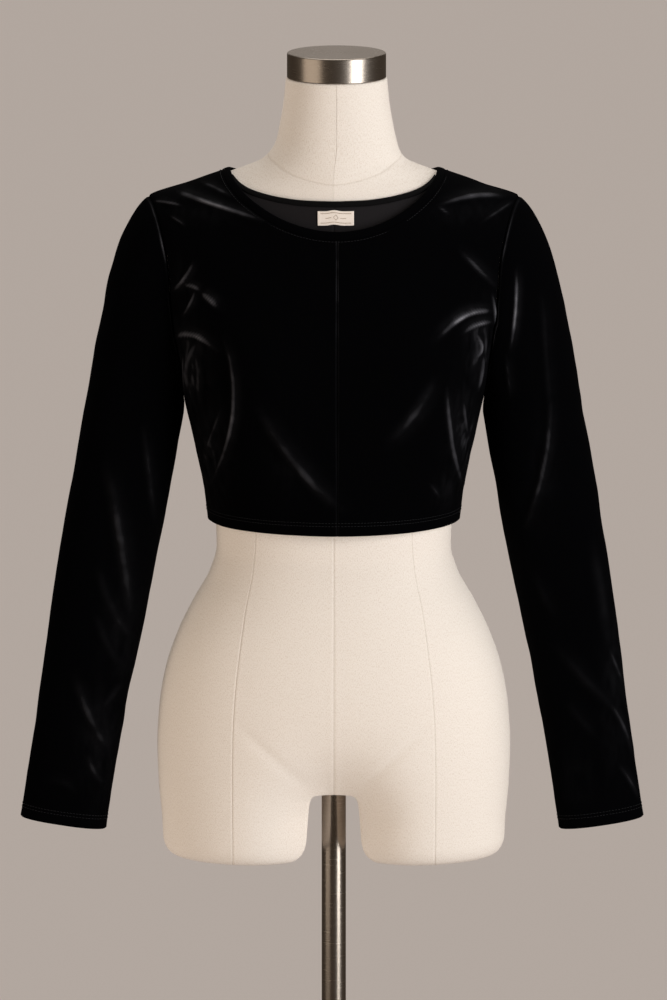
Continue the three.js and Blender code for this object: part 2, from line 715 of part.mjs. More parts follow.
function toSolid(geometry) {
  const plain = geometry.clone();
  plain.deleteAttribute('normal');
  plain.deleteAttribute('uv');
  const merged = mergeVertices(plain, 1e-4);
  return new wasm.Manifold(
    new wasm.Mesh({
      numProp: 3,
      vertProperties: new Float32Array(merged.attributes.position.array),
      triVerts: new Uint32Array(merged.index.array),
    }),
  );
}

function toGeometry(solid) {
  const mesh = solid.getMesh();
  const geometry = new THREE.BufferGeometry();
  geometry.setAttribute('position', new THREE.BufferAttribute(new Float32Array(mesh.vertProperties), 3));
  geometry.setIndex(Array.from(mesh.triVerts));
  return geometry;
}

// A turned part from its profile of radius and height, which starts and ends on the axis
function turned(profile, segments) {
  const geometry = new THREE.LatheGeometry(profile.map(([r, z]) => new THREE.Vector2(r, z)), segments);
  return geometry.rotateX(Math.PI / 2);
}

const formTop = formSections[formSections.length - 1].z;

function form() {
  const rings = formHeights.map((z) => {
    const ring = [];
    const lean = neckLean.shift * THREE.MathUtils.smoothstep(z, neckLean.from, neckLean.to);
    for (let j = 0; j < formColumns; j += 1) {
      const point = bodyPoint(formBody, (2 * Math.PI * j) / formColumns, z);
      point.x += lean;
      ring.push(point);
    }
    return ring;
  });
  const outline = thighGap.map(([x, z]) => new THREE.Vector2(x, z));
  const mirrored = thighGap.map(([x, z]) => new THREE.Vector2(-x, z)).reverse();
  const gap = new THREE.ExtrudeGeometry(new THREE.Shape([...outline, ...mirrored]), {
    depth: 2 * thighGapReach,
    bevelEnabled: false,
  });
  gap.rotateX(Math.PI / 2).translate(0, thighGapReach, 0);
  const boreRadius = poleRadius + fitGap;
  const boreLow = crotchZ - boreLead;
  const boreTop = crotchZ + poleDepthInForm + fitGap;
  const bore = turned([[0, boreLow], [boreRadius, boreLow], [boreRadius, boreTop], [0, boreTop]], poleSides);
  const solid = toSolid(loft(rings)).subtract(toSolid(gap)).subtract(toSolid(bore));
  return toGeometry(solid);
}

function neckCap() {
  const low = formTop + fitGap;
  const high = low + capHeight;
  const inset = capBevel * (1 - Math.SQRT1_2);
  const profile = [[0, low], [capRadius - capEase, low], [capRadius, low + capEase],
    [capRadius, high - capBevel], [capRadius - inset, high - inset], [capRadius - capBevel, high], [0, high]];
  return turned(profile, discSides).translate(neckLean.shift, 0, 0);
}

function pole() {
  const low = socketFloor + fitGap;
  const high = crotchZ + poleDepthInForm;
  return turned([[0, low], [poleRadius, low], [poleRadius, high], [0, high]], poleSides);
}

function base() {
  const collarTop = basePlate + collarHeight;
  const socket = poleRadius + fitGap;
  return turned([[0, 0], [baseRadius, 0], [baseRadius, basePlate - baseEdge],
    [baseRadius - baseEdge, basePlate], [collarRadius + collarRounding, basePlate],
    [collarRadius, basePlate + collarRounding], [collarRadius, collarTop - collarRounding],
    [collarRadius - collarRounding, collarTop], [socket, collarTop], [socket, socketFloor],
    [0, socketFloor]], discSides);
}

const velvet = { color: 0x08080a, roughness: 0.75, metalness: 0 };
const innerCloth = { color: 0x231f22, roughness: 0.8, metalness: 0 };
const bindingCloth = { color: 0x0b0a0c, roughness: 0.7, metalness: 0 };
const linen = { color: 0xe8dccb, roughness: 0.9, metalness: 0 };
const labelCloth = { color: 0xefe3d0, roughness: 0.7, metalness: 0 };
const steel = { color: 0x9a9088, roughness: 0.3, metalness: 1 };

const group = new THREE.Group();
function add(name, geometry, look) {
  const mesh = new THREE.Mesh(geometry, new THREE.MeshStandardMaterial(look));
  mesh.name = name;
  group.add(mesh);
}

for (const [name, side] of [['left', 1], ['right', -1]]) {
  add(`front_${name}`, panel('front', side), velvet);
  add(`back_${name}`, panel('back', side), velvet);
  add(`sleeve_${name}`, sleeve(side), velvet);
  add(`inner_${name}`, innerLayer(side), innerCloth);
}
add('neck_band', neckBand(), velvet);
add('inner_binding', innerBinding(), bindingCloth);
add('label', labelPatch(), labelCloth);
add('form', form(), linen);
add('neck_cap', neckCap(), steel);
add('pole', pole(), steel);
add('base', base(), steel);

export default group;
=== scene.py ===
# A black stretch-velvet crop top on an ivory linen dress form with a brushed steel stand.
# Sizes are millimetres until a mesh is made, which turns them to metres. The front faces -Y.
import math
from collections import namedtuple

import bmesh
import bpy
import numpy as np
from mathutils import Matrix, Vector


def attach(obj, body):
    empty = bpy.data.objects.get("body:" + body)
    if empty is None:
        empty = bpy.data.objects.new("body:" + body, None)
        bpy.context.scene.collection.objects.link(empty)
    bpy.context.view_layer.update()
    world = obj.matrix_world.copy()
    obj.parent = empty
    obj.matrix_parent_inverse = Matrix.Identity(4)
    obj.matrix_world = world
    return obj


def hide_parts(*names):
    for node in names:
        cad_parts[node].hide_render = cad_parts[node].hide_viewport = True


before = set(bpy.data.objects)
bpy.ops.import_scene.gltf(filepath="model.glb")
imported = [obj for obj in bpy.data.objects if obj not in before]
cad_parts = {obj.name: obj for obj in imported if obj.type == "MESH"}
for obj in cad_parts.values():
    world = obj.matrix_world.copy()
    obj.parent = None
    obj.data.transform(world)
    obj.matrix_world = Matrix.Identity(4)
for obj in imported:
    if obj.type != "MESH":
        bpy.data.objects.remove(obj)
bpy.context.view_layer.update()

MM = 0.001
SIDE_NAME = {1: "left", -1: "right"}


def table(kind, rows):
    return [kind(*row) for row in rows]


# Driving sizes of the cut

HEM_Z = 1009.0
ARMPIT_Z = 1135.0
SHOULDER_Z = 1344.0
NECK_POINT = (107.0, 1374.0)
NECK_DROP = {"front": 54.0, "back": 24.0}
NECK_SHAPE = {"front": 1.55, "back": 1.3}
BAND_WIDTH = 8.7
HEM_DEPTH = 13.6
WALL = 1.5
TURNED_WALL = 2.6
SEAM_GAP = 0.3
SCYE_DEPTH = {"front": 48.0, "back": 46.0}
SEAM_SHIFT = 3.5
SEAM_SHIFT_REACH = 120.0

Section = namedtuple("Section", "z side front back square")
TOP_SECTIONS = table(Section, [
    (1009, 130, 110, 98, 1.95),
    (1035, 133, 112, 97, 2.05),
    (1060, 137.5, 114, 97, 2.2),
    (1098, 145.5, 117.5, 98.5, 2.35),
    (1135, 154, 120.5, 101, 2.4),
    (1185, 165.6, 120.5, 104, 2.4),
    (1240, 178.8, 112, 104, 2.3),
    (1290, 186, 96.5, 97, 2.2),
    (1319, 194, 85.5, 88, 1.9),
    (1330, 195.5, 81.5, 84.5, 1.75),
    (1344, 190.3, 76.5, 80, 1.6),
    (1358.5, 150, 73.5, 75.5, 1.55),
    (1374, 107, 70, 72, 1.55),
    (1382, 85, 68, 70, 1.55),
])
FORM_SECTIONS = table(Section, [
    (656, 156, 80, 102, 2.2),
    (658, 165, 89, 110, 2.2),
    (663, 172, 96, 117, 2.2),
    (673, 176, 101, 122, 2.2),
    (693, 177, 104, 125, 2.2),
    (733, 180.6, 108, 131, 2.2),
    (774, 182, 111, 136, 2.2),
    (814, 179.7, 112, 137, 2.2),
    (853, 173, 111, 132, 2.2),
    (891, 160.2, 107, 121, 2.2),
    (923, 144.7, 102, 107, 2.15),
    (955, 127.2, 96, 93, 2.15),
    (980, 120.5, 93, 86, 2.15),
    (1009, 121.5, 94, 84, 2.2),
    (1040, 127, 98, 84, 2.25),
    (1080, 136, 106, 88, 2.3),
    (1135, 147.5, 112.5, 94, 2.35),
    (1185, 158, 112.5, 98, 2.4),
    (1240, 168, 102, 97.5, 2.45),
    (1290, 176, 86.5, 89, 2.25),
    (1312, 178, 79, 82, 1.95),
    (1325, 178, 74.5, 77.5, 1.75),
    (1335, 176, 71.5, 74.5, 1.62),
    (1344, 168, 68.5, 72, 1.55),
    (1351, 158, 66.5, 70.5, 1.5),
    (1358.5, 142, 64.8, 69, 1.5),
    (1367, 115, 63, 67, 1.5),
    (1373.5, 95.5, 62, 65.5, 1.6),
    (1382.6, 73.6, 60, 63.5, 1.85),
    (1397, 63.3, 57.5, 61, 2),
    (1419, 57.9, 54.5, 57, 2),
    (1443, 54, 52.5, 54, 2),
    (1467, 51.7, 51.7, 51.7, 2),
])
Valley = namedtuple("Valley", "z share")
THIGH_VALLEY = table(Valley, [
    (656, 0.62),
    (700, 0.6),
    (722, 0.5),
    (740, 0.36),
    (762, 0.2),
    (786, 0.085),
    (812, 0.027),
    (840, 0.006),
    (872, 0),
])
VALLEY_WIDTH = 58.0
BUST = {"x": 82.0, "z": 1182.0, "width": 46.0, "height": 52.0, "rise": 12.0}

SleeveSection = namedtuple("SleeveSection", "z x y width depth")
SLEEVE_SECTIONS = table(SleeveSection, [
    (1126, 204.4, 0, 101.2, 87),
    (1032, 220.3, -1, 102, 80),
    (922, 240.3, -4, 97.9, 71),
    (812.5, 258.1, -8, 90.3, 59),
    (765, 265.6, -10, 88.7, 53),
    (693, 276.1, -12, 88.7, 47),
])

# Creases, each a bent line as seen from the front or back, with its half width, its rise, how much
# of a trough lies beside it and how bright the painted highlight along it is. Positive x is the wearer's
# left.
Fold = namedtuple("Fold", "face start bend end width rise trough shine")
BODY_FOLDS = table(Fold, [
    ("front", (-160, 1351), (-132, 1346), (-74, 1330), 4.5, 2.2, 0.5, 0.9),
    ("front", (-184, 1341), (-172, 1342), (-156, 1340), 3, 1.2, 0.4, 0.8),
    ("front", (-138, 1361), (-120, 1358), (-104, 1351), 3.5, 1.2, 0.4, 0.4),
    ("front", (-168, 1329), (-160, 1326), (-152, 1321), 3, 1.2, 0.5, 0.5),
    ("front", (-143, 1286), (-151, 1266), (-165, 1254), 4, 2.8, 0.6, 0.8),
    ("front", (-153, 1261), (-145, 1264), (-136, 1258), 4.4, 1.5, 0.5, 0.7),
    ("front", (-135, 1256), (-126, 1250), (-118, 1243), 5.2, 1.6, 0.4, 0.9),
    ("front", (-142, 1258), (-143, 1246), (-156, 1228), 3.5, 1.8, 0.6, 0.5),
    ("front", (-162, 1204), (-147, 1222), (-120, 1200), 5.4, 2.6, 0.6, 0.8),
    ("front", (-140, 1206), (-154, 1178), (-148, 1146), 6, 2.8, 0.5, 0.5),
    ("front", (-156, 1190), (-153, 1168), (-152, 1142), 3.5, 1.4, 0.5, 0.4),
    ("front", (106, 1343), (146, 1354), (176, 1346), 4.5, 1.7, 0.4, 0.6),
    ("front", (152, 1325), (171, 1335), (184, 1341), 4, 1.6, 0.5, 0.4),
    ("front", (106, 1342), (112, 1338), (119, 1334), 3, 0.8, 0.3, 0.4),
    ("front", (107, 1214), (136, 1243), (161, 1233), 5.4, 2.9, 0.6, 0.95),
    ("front", (132, 1215), (146, 1226), (163, 1221), 5, 2.2, 0.6, 0.8),
    ("front", (130, 1298), (143, 1283), (167, 1257), 5, 2.0, 0.5, 0.4),
    ("front", (162, 1252), (165, 1231), (166, 1211), 3, 1.8, 0.6, 0.7),
    ("front", (144, 1215), (158, 1195), (143, 1186), 3.5, 2.2, 0.6, 0.8),
    ("front", (152, 1190), (152, 1170), (147, 1148), 4.5, 2.0, 0.5, 0.6),
    ("front", (-112, 1210), (-86, 1142), (-129, 1046), 4.5, 1.9, 0.7, 0.6),
    ("front", (-115, 1140), (-124, 1110), (-133, 1078), 4.5, 1.7, 0.4, 0.35),
    ("front", (116, 1160), (115, 1112), (133, 1046), 4.5, 1.9, 0.7, 0.7),
    ("front", (132, 1146), (133, 1125), (139, 1100), 4, 1.5, 0.4, 0.5),
    ("front", (-76, 1140), (-46, 1078), (3, 1038), 8.5, 2.6, 0.5, 0.38),
    ("front", (102, 1170), (84, 1134), (55, 1109), 8, 2.2, 0.4, 0.36),
    ("front", (99, 1058), (105, 1049), (109, 1040), 3.5, 1.3, 0.4, 0.4),
    ("front", (-60, 1300), (-58, 1262), (-64, 1218), 14, 0.7, 0.2, 0),
    ("front", (62, 1298), (60, 1256), (70, 1212), 14, 0.7, 0.2, 0),
    ("back", (-160, 1330), (-120, 1318), (-70, 1322), 5.5, 2.6, 0.5, 0.6),
    ("back", (158, 1326), (122, 1312), (64, 1317), 5.5, 2.8, 0.5, 0.6),
    ("back", (-158, 1212), (-128, 1226), (-88, 1206), 4.5, 2.8, 0.6, 0.8),
    ("back", (160, 1204), (134, 1224), (92, 1212), 4.5, 2.6, 0.6, 0.8),
    ("back", (-154, 1188), (-136, 1176), (-110, 1180), 4, 1.8, 0.5, 0.6),
    ("back", (156, 1180), (138, 1170), (116, 1174), 4, 1.9, 0.5, 0.6),
    ("back", (-118, 1150), (-70, 1112), (6, 1094), 7, 2.2, 0.5, 0.35),
    ("back", (122, 1132), (84, 1090), (30, 1068), 7, 2.0, 0.5, 0.35),
    ("back", (-112, 1086), (-62, 1052), (-8, 1046), 6, 1.8, 0.5, 0.3),
    ("back", (128, 1066), (92, 1046), (60, 1044), 5, 1.3, 0.4, 0.3),
    ("back", (-126, 1100), (-134, 1078), (-128, 1050), 4.5, 1.6, 0.5, 0.5),
    ("back", (130, 1120), (140, 1090), (130, 1058), 4.5, 1.7, 0.5, 0.5),
])
SLEEVE_FOLDS = table(Fold, [
    ("front", (-233, 1072), (-214, 985), (-208, 900), 8.5, 3.0, 0.5, 0.35),
    ("front", (-240, 962), (-230, 914), (-203, 884), 7.5, 2.2, 0.5, 0.26),
    ("front", (-243, 914), (-232, 880), (-218, 858), 7, 2.0, 0.5, 0.2),
    ("front", (-264, 848), (-250, 800), (-228, 768), 7.5, 2.6, 0.5, 0.36),
    ("front", (-215, 842), (-226, 828), (-239, 812), 6.5, 1.8, 0.5, 0.2),
    ("front", (-195, 1109), (-190, 1066), (-183, 1008), 5.5, 1.6, 0.5, 0.3),
    ("front", (-250, 768), (-248, 748), (-233, 734), 6, 1.6, 0.5, 0.32),
    ("front", (-292, 738), (-274, 744), (-262, 726), 6, 1.2, 0.5, 0.1),
    ("front", (222, 1142), (224, 1078), (197, 1004), 5.5, 2.6, 0.6, 0.42),
    ("front", (213, 1246), (217, 1200), (222, 1122), 5.5, 1.2, 0.4, 0.2),
    ("front", (187, 1274), (188, 1235), (181, 1192), 4, 2.0, 0.6, 0.85),
    ("front", (177, 1188), (178, 1168), (182, 1142), 4.5, 1.2, 0.4, 0.3),
    ("front", (268, 988), (275, 930), (285, 870), 8, 2.0, 0.5, 0.22),
    ("front", (282, 880), (291, 858), (301, 828), 4, 1.6, 0.6, 0.45),
    ("front", (229, 880), (264, 838), (293, 810), 8, 2.6, 0.5, 0.17),
    ("front", (283, 820), (299, 802), (309, 762), 4.5, 2.0, 0.6, 0.5),
    ("front", (240, 822), (252, 806), (270, 786), 7, 1.6, 0.4, 0.12),
    ("front", (293, 756), (305, 742), (315, 718), 4, 1.5, 0.5, 0.38),
    ("front", (205, 960), (216, 930), (228, 912), 7, 1.5, 0.5, 0.1),
    ("back", (-228, 1090), (-214, 1010), (-226, 930), 7.5, 2.8, 0.6, 0.34),
    ("back", (-204, 980), (-222, 948), (-246, 934), 6, 2.2, 0.6, 0.3),
    ("back", (-252, 880), (-240, 830), (-256, 770), 7, 2.4, 0.6, 0.3),
    ("back", (-224, 800), (-240, 780), (-262, 772), 5, 1.6, 0.5, 0.3),
    ("back", (218, 1076), (238, 1000), (224, 920), 7, 2.8, 0.6, 0.36),
    ("back", (252, 982), (236, 956), (214, 946), 6, 2.2, 0.6, 0.3),
    ("back", (266, 870), (248, 820), (262, 752), 7.5, 2.4, 0.6, 0.3),
    ("back", (286, 806), (268, 784), (246, 780), 5, 1.6, 0.5, 0.3),
])
# How a crease and its painted highlight spread from its line, in half widths. Those wider than the crisp
# width get a softer painted highlight.
FOLD_STEPS = 21
CREST_SPREAD, CREST_POWER = 0.7, -1.6
TROUGH_PLACE, TROUGH_SPREAD = 1.7, 1.1
CRISP_WIDTH = 5.0
CORE_SPREAD, SOFT_CORE_SPREAD = 0.46, 0.42
HALO_PLACE, HALO_SHARE = 0.6, 0.3
END_FADE = 0.7
END_MARGIN = 0.02
FOLD_REACH, FOLD_MARGIN = 4, 8
# Places where the cloth is crumpled and gets a painted sheen in streaks
CrumpleSheen = namedtuple("CrumpleSheen", "face x z width height share")
CRUMPLE_SHEEN = table(CrumpleSheen, [
    ("front", -148, 1172, 17, 44, 0.4),
    ("front", -128, 1082, 17, 52, 0.3),
    ("front", -152, 1262, 11, 24, 0.22),
    ("front", 150, 1196, 13, 36, 0.4),
    ("front", 134, 1100, 14, 54, 0.34),
    ("front", 116, 1046, 12, 18, 0.2),
    ("front", -46, 1082, 16, 30, 0.1),
    ("front", 140, 1336, 34, 14, 0.12),
    ("front", -140, 1340, 34, 14, 0.14),
    ("back", -142, 1190, 16, 38, 0.34),
    ("back", 144, 1186, 16, 38, 0.36),
    ("back", 122, 1080, 14, 44, 0.24),
    ("sleeve", -218, 900, 18, 60, 0.15),
    ("sleeve", -240, 780, 16, 50, 0.22),
    ("sleeve", 216, 1060, 12, 50, 0.08),
    ("sleeve", 292, 840, 14, 80, 0.16),
    ("sleeve", 250, 740, 14, 30, 0.1),
])
RIGHT_SLEEVE_SPLAY = 3.2
# Waves of the uneven cloth, each with its size, its rise and its step from the piece's seed. Those
# of crumpled places, and the streaks of their painted sheen, are drawn out along the hang of the cloth.
Wave = namedtuple("Wave", "size rise seed_step")
PANEL_WAVES = [Wave(34, 0.7, 0), Wave(13, 0.22, 3)]
SLEEVE_WAVES = [Wave(36, 1.0, 0), Wave(14, 0.25, 3)]
CRUMPLES = [Wave(8, 2.4, 5), Wave(4.5, 1.0, 7)]
STREAKS = [Wave(6, 1.0, 9), Wave(3, 0.5, 10)]
DRAWN_DOWN = np.array([1.0, 1.0, 0.35])
STREAK_SHINE = {"middle": 0.65, "swing": 0.6, "most": 1.1}

# Inner neck layer, binding and label

INNER_WALL = 1.1
INNER_GAP = 0.7
InnerTop = namedtuple("InnerTop", "x z")
INNER_HALF_WIDTH = 103.0
INNER_TOP = [InnerTop(0, 1342.6), InnerTop(30, 1343), InnerTop(54, 1345.2), InnerTop(72, 1348.3),
             InnerTop(86, 1352), InnerTop(96, 1356.6), InnerTop(103, 1362)]
INNER_DEPTH = {"centre": 56.0, "end": 10.0}
INNER_END_LIFT = 0.4
INNER_SEAM_DEPTH, INNER_SEAM_WIDTH = 0.5, 1.8
INNER_COLUMNS, INNER_ROWS = 60, 28
BINDING_WIDTH = 5.2
BINDING_WALL = 1.9
BINDING_CROWN = {"rise": 0.7, "sunk": 0.4}
BINDING_COLUMNS, BINDING_ROWS = 150, 9
LABEL_COLUMNS, LABEL_ROWS = 40, 16
ORNAMENT_POINTS = 12
LABEL = {"width": 36.0, "height": 13.6, "wall": 0.7, "top": 1338.2, "x": 2.0, "gap": 0.25,
         "kink": 1.2, "kink_width": 5.5, "kink_lift": 0.35, "curl": 0.5}
ORNAMENT = {"spacing": 0.95, "length": 0.95, "radius": 0.24, "lift": 0.12, "side_margin": 2.4,
            "end_margin": 2.2, "lozenge_wide": 2.4, "lozenge_tall": 2.6, "dash_from": 4.4, "dash_to": 10.5}

# Stand

FORM_TOP = FORM_SECTIONS[-1].z
CROTCH_Z = 729.0
NECK_LEAN = (1376.0, 1405.0, 2.8)
CAP_RADIUS = 50.8
CAP_HEIGHT = 25.6
CAP_BEVEL = 1.6
CAP_LOWER_EDGE = 0.6
CAP_RIM, CAP_RIM_DIP = 8, 0.05
POLE_RADIUS = 12.5
POLE_DEPTH_IN_FORM = 48.0
FIT_GAP = 0.3
BASE_RADIUS = 180.0
BASE_PLATE = 10.0
BASE_EDGE = 3.0
BASE_LOWER_EDGE = 0.5
COLLAR_RADIUS = 23.0
COLLAR_HEIGHT = 46.0
COLLAR_ROUNDING = 2.0
SOCKET_FLOOR = 4.0
SHARP_ANGLE = math.radians(40)
STEEL_SEGMENTS, POLE_SEGMENTS = 128, 64
EDGE_STEPS, COLLAR_STEPS, FOOT_STEPS = 7, 6, 5

# The photo's view

PHOTO_WIDTH, PHOTO_HEIGHT = 667, 1000
MM_PER_PIXEL = 1.03
AXIS_PIXEL = 333.8
VIEW_ELEVATION = math.radians(10)
VIEW_DISTANCE = 16.0
VIEW_CENTRE_Z = 1.027
SENSOR = 36.0

# Studio, in metres and watts. The softboxes light all but the floor, which the ceiling lights evenly.

Softbox = namedtuple("Softbox", "name place aim width height power colour mirrored")
SOFTBOXES = [
    Softbox("key", (2.1, -1.9, 1.45), (0, 0, 1.45), 1.3, 2.8, 76, "#fffefd", True),
    Softbox("fill", (-2.4, -1.4, 1.45), (0, 0, 1.45), 2.3, 2.8, 20, "#ffefdd", True),
    Softbox("low bounce", (-1.6, -0.7, 0.45), (0, 0, 0.75), 1.2, 0.7, 6, "#fff0e0", False),
    Softbox("back panel", (0, 5.0, 2.4), (0, 0, 1.5), 4.4, 1.7, 8, "#fff6ee", True),
]
CEILING = {"strength": 1.7, "spread": math.radians(70), "lean": math.radians(-16), "colour": "#fffcf8"}
ROOM = {"colour": "#cdb7a2", "strength": 0.12}
FLOOR_RINGS = (2.0, 6.0, 14.0, 32.0)
FLOOR_TURNS = 48
FLOOR_GAP = 0.0005
CLIP_END = 60


# Shape functions

def curve_of(rows, key, name):
    """A smooth value between the rows of a table, which never overshoots them."""
    keys = np.array([getattr(row, key) for row in rows], float)
    values = np.array([getattr(row, name) for row in rows], float)
    if keys[0] > keys[-1]:
        keys, values = keys[::-1], values[::-1]
    secants = np.diff(values) / np.diff(keys)
    before = np.concatenate([secants[:1], secants])
    after = np.concatenate([secants, secants[-1:]])
    same_way = before * after > 0
    total = np.where(same_way, before + after, 1)
    slopes = np.where(same_way, 2 * before * after / total, 0)

    def value(at):
        t = np.clip(np.asarray(at, float), keys[0], keys[-1])
        i = np.clip(np.searchsorted(keys, t, side="right") - 1, 0, len(keys) - 2)
        span = keys[i + 1] - keys[i]
        u = (t - keys[i]) / span
        rise = u * u * (3 - 2 * u)
        leave = u * (1 - u) ** 2 * span * slopes[i]
        arrive = u * u * (u - 1) * span * slopes[i + 1]
        return values[i] * (1 - rise) + values[i + 1] * rise + leave + arrive

    return value


class Body:
    """A body-shaped surface through sections of half width and depth."""

    def __init__(self, sections, valley=None):
        self.side = curve_of(sections, "z", "side")
        self.front = curve_of(sections, "z", "front")
        self.back = curve_of(sections, "z", "back")
        self.square = curve_of(sections, "z", "square")
        self.valley = curve_of(valley, "z", "share") if valley else None

    def point(self, turn, z):
        turn, z = np.broadcast_arrays(np.asarray(turn, float), np.asarray(z, float))
        power = 2 / self.square(z)
        across, forward = np.sin(turn), np.cos(turn)
        depth = np.where(forward >= 0, self.front(z), self.back(z))
        x = self.side(z) * np.sign(across) * np.abs(across) ** power
        y = -depth * np.sign(forward) * np.abs(forward) ** power
        if self.valley:
            y = y * (1 - self.valley(z) * np.exp(-((x / VALLEY_WIDTH) ** 2)))
        off_x = (np.abs(x) - BUST["x"]) / BUST["width"]
        off_z = (z - BUST["z"]) / BUST["height"]
        rise = BUST["rise"] * np.exp(-off_x**2 - off_z**2) * np.sqrt(np.maximum(forward, 0))
        return np.stack([x, y - rise, z], -1)

    def normal(self, turn, z, step=0.004, rise=0.4):
        around = self.point(turn + step, z) - self.point(turn - step, z)
        up = self.point(turn, z + rise) - self.point(turn, z - rise)
        return unit(np.cross(around, up))

    def turn_at_x(self, x, z):
        ratio = np.minimum(np.abs(x) / self.side(z), 1)
        return np.arcsin(ratio ** (self.square(z) / 2)) * np.sign(x)

    def turn_at_depth(self, depth, z, face):
        reach = self.front(z) if face == "front" else self.back(z)
        return np.arccos(np.minimum(depth / reach, 1) ** (self.square(z) / 2))


def smooth(share):
    share = np.clip(share, 0, 1)
    return share * share * (3 - 2 * share)


def unit(vectors):
    return vectors / np.maximum(np.linalg.norm(vectors, axis=-1, keepdims=True), 1e-12)


TOP = Body(TOP_SECTIONS)
FORM = Body(FORM_SECTIONS, THIGH_VALLEY)


def nearest_on_line(x, z, line_x, line_z):
    """For each place its distance to a line, the side that it is on and how far along it lies."""
    best = np.full(x.shape, np.inf)
    side, along = np.zeros(x.shape), np.zeros(x.shape)
    count = len(line_x) - 1
    for k in range(count):
        ux, uz = line_x[k + 1] - line_x[k], line_z[k + 1] - line_z[k]
        t = np.clip(((x - line_x[k]) * ux + (z - line_z[k]) * uz) / (ux * ux + uz * uz), 0, 1)
        dx, dz = x - line_x[k] - t * ux, z - line_z[k] - t * uz
        distance = np.hypot(dx, dz)
        closer = distance < best
        best = np.where(closer, distance, best)
        side = np.where(closer, np.sign(ux * dz - uz * dx), side)
        along = np.where(closer, (k + t) / count, along)
    return best, side, along


def fold_marks(folds, face, x, z):
    """How far the creases lift the cloth, and how bright their painted highlight is, seen from front or back.
    """
    rise, shine = np.zeros(np.shape(x)), np.zeros(np.shape(x))
    steps = np.linspace(0, 1, FOLD_STEPS)
    a, b, c = (1 - steps) ** 2, 2 * steps * (1 - steps), steps**2
    for fold in folds:
        if fold.face != face:
            continue
        line_x = a * fold.start[0] + b * fold.bend[0] + c * fold.end[0]
        line_z = a * fold.start[1] + b * fold.bend[1] + c * fold.end[1]
        reach = FOLD_REACH * fold.width + FOLD_MARGIN
        near = (x > line_x.min() - reach) & (x < line_x.max() + reach)
        near &= (z > line_z.min() - reach) & (z < line_z.max() + reach)
        if not near.any():
            continue
        distance, side, along = nearest_on_line(x[near], z[near], line_x, line_z)
        width = fold.width
        off = side * distance
        crest = (1 + (distance / (CREST_SPREAD * width)) ** 2) ** CREST_POWER
        hollow = np.exp(-(((off + TROUGH_PLACE * width) / (TROUGH_SPREAD * width)) ** 2))
        fade = np.sin(np.pi * np.clip(along, END_MARGIN, 1 - END_MARGIN)) ** END_FADE
        rise[near] += fold.rise * (crest - fold.trough * hollow) * fade
        core_width = CORE_SPREAD * width + SOFT_CORE_SPREAD * max(width - CRISP_WIDTH, 0)
        core = np.exp(-((distance / core_width) ** 2))
        halo = np.exp(-(((off - HALO_PLACE * width) / width) ** 2))
        shine[near] = np.maximum(shine[near], fold.shine * np.maximum(core, HALO_SHARE * halo) * fade)
    return rise, shine


def crumple_and_sheen_share(face, x, z):
    total = np.zeros(np.shape(x))
    for spot in CRUMPLE_SHEEN:
        if spot.face == face:
            off = ((x - spot.x) / spot.width) ** 2 + ((z - spot.z) / spot.height) ** 2
            total = np.maximum(total, spot.share * np.exp(-off))
    return total


def waviness(points, size, seed):
    """Small seeded unevenness of the cloth, about one unit high: a smoothed random lattice."""
    cells, first_cell = 64, 1000
    lattice = np.random.default_rng(seed).uniform(-1, 1, (cells, cells, cells))
    place = points / size + first_cell
    low = np.floor(place).astype(int)
    part = place - low
    part = part * part * (3 - 2 * part)
    total = np.zeros(points.shape[:-1])
    for i in (0, 1):
        for j in (0, 1):
            for k in (0, 1):
                share = np.where(i, part[..., 0], 1 - part[..., 0])
                share = share * np.where(j, part[..., 1], 1 - part[..., 1])
                share = share * np.where(k, part[..., 2], 1 - part[..., 2])
                cell = (low + [i, j, k]) % cells
                total += share * lattice[cell[..., 0], cell[..., 1], cell[..., 2]]
    return total


def waves(points, rows, seed):
    return sum(row.rise * waviness(points, row.size, seed + row.seed_step) for row in rows)


def uneven_cloth_and_sheen(points, crumple_and_sheen, rows, seed):
    """How uneven the cloth is, and the painted sheen in streaks over its crumpled places."""
    hanging = points * DRAWN_DOWN
    uneven = waves(points, rows, seed) + crumple_and_sheen * waves(hanging, CRUMPLES, seed)
    streaks = STREAK_SHINE["middle"] + STREAK_SHINE["swing"] * waves(hanging, STREAKS, seed)
    return uneven, crumple_and_sheen * np.clip(streaks, 0, STREAK_SHINE["most"])


# Making meshes

def new_object(name, points, faces, material, uvs=None, marks=None):
    """A mesh object from points in millimetres, riding on the part."""
    mesh = bpy.data.meshes.new(name)
    mesh.from_pydata((np.asarray(points, float) * MM).tolist(), [], faces)
    mesh.polygons.foreach_set("use_smooth", [True] * len(mesh.polygons))
    for key, values in (marks or {}).items():
        mesh.attributes.new(key, "FLOAT", "POINT").data.foreach_set("value", values.astype(np.float32))
    if uvs is not None:
        layer = mesh.uv_layers.new(name="cloth")
        index = np.zeros(len(mesh.loops), int)
        mesh.loops.foreach_get("vertex_index", index)
        layer.data.foreach_set("uv", (np.asarray(uvs, float) * MM)[index].ravel())
    mesh.materials.append(material)
    mesh.validate()
    piece = bpy.data.objects.new(name, mesh)
    bpy.context.scene.collection.objects.link(piece)
    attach(piece, "root")
    return piece


def volume_sign(points, faces):
    total = 0.0
    for face in faces:
        a, b, c = points[face[0]], points[face[1]], points[face[2]]
        total += float(np.dot(a, np.cross(b, c)))
    return 1 if total > 0 else -1


def tube_faces(rows, columns):
    """Quads between rings of points, each ring closed on itself."""
    faces = []
    for i in range(rows - 1):
        for j in range(columns):
            n = (j + 1) % columns
            faces.append([i * columns + j, i * columns + n, (i + 1) * columns + n, (i + 1) * columns + j])
    return faces


def end_faces(rows, columns):
    """Fans that close the first and last ring onto the two points that follow the rings."""
    low, high = rows * columns, rows * columns + 1
    last = (rows - 1) * columns
    faces = []
    for j in range(columns):
        n = (j + 1) % columns
        faces.append([n, j, low])
        faces.append([last + j, last + n, high])
    return faces


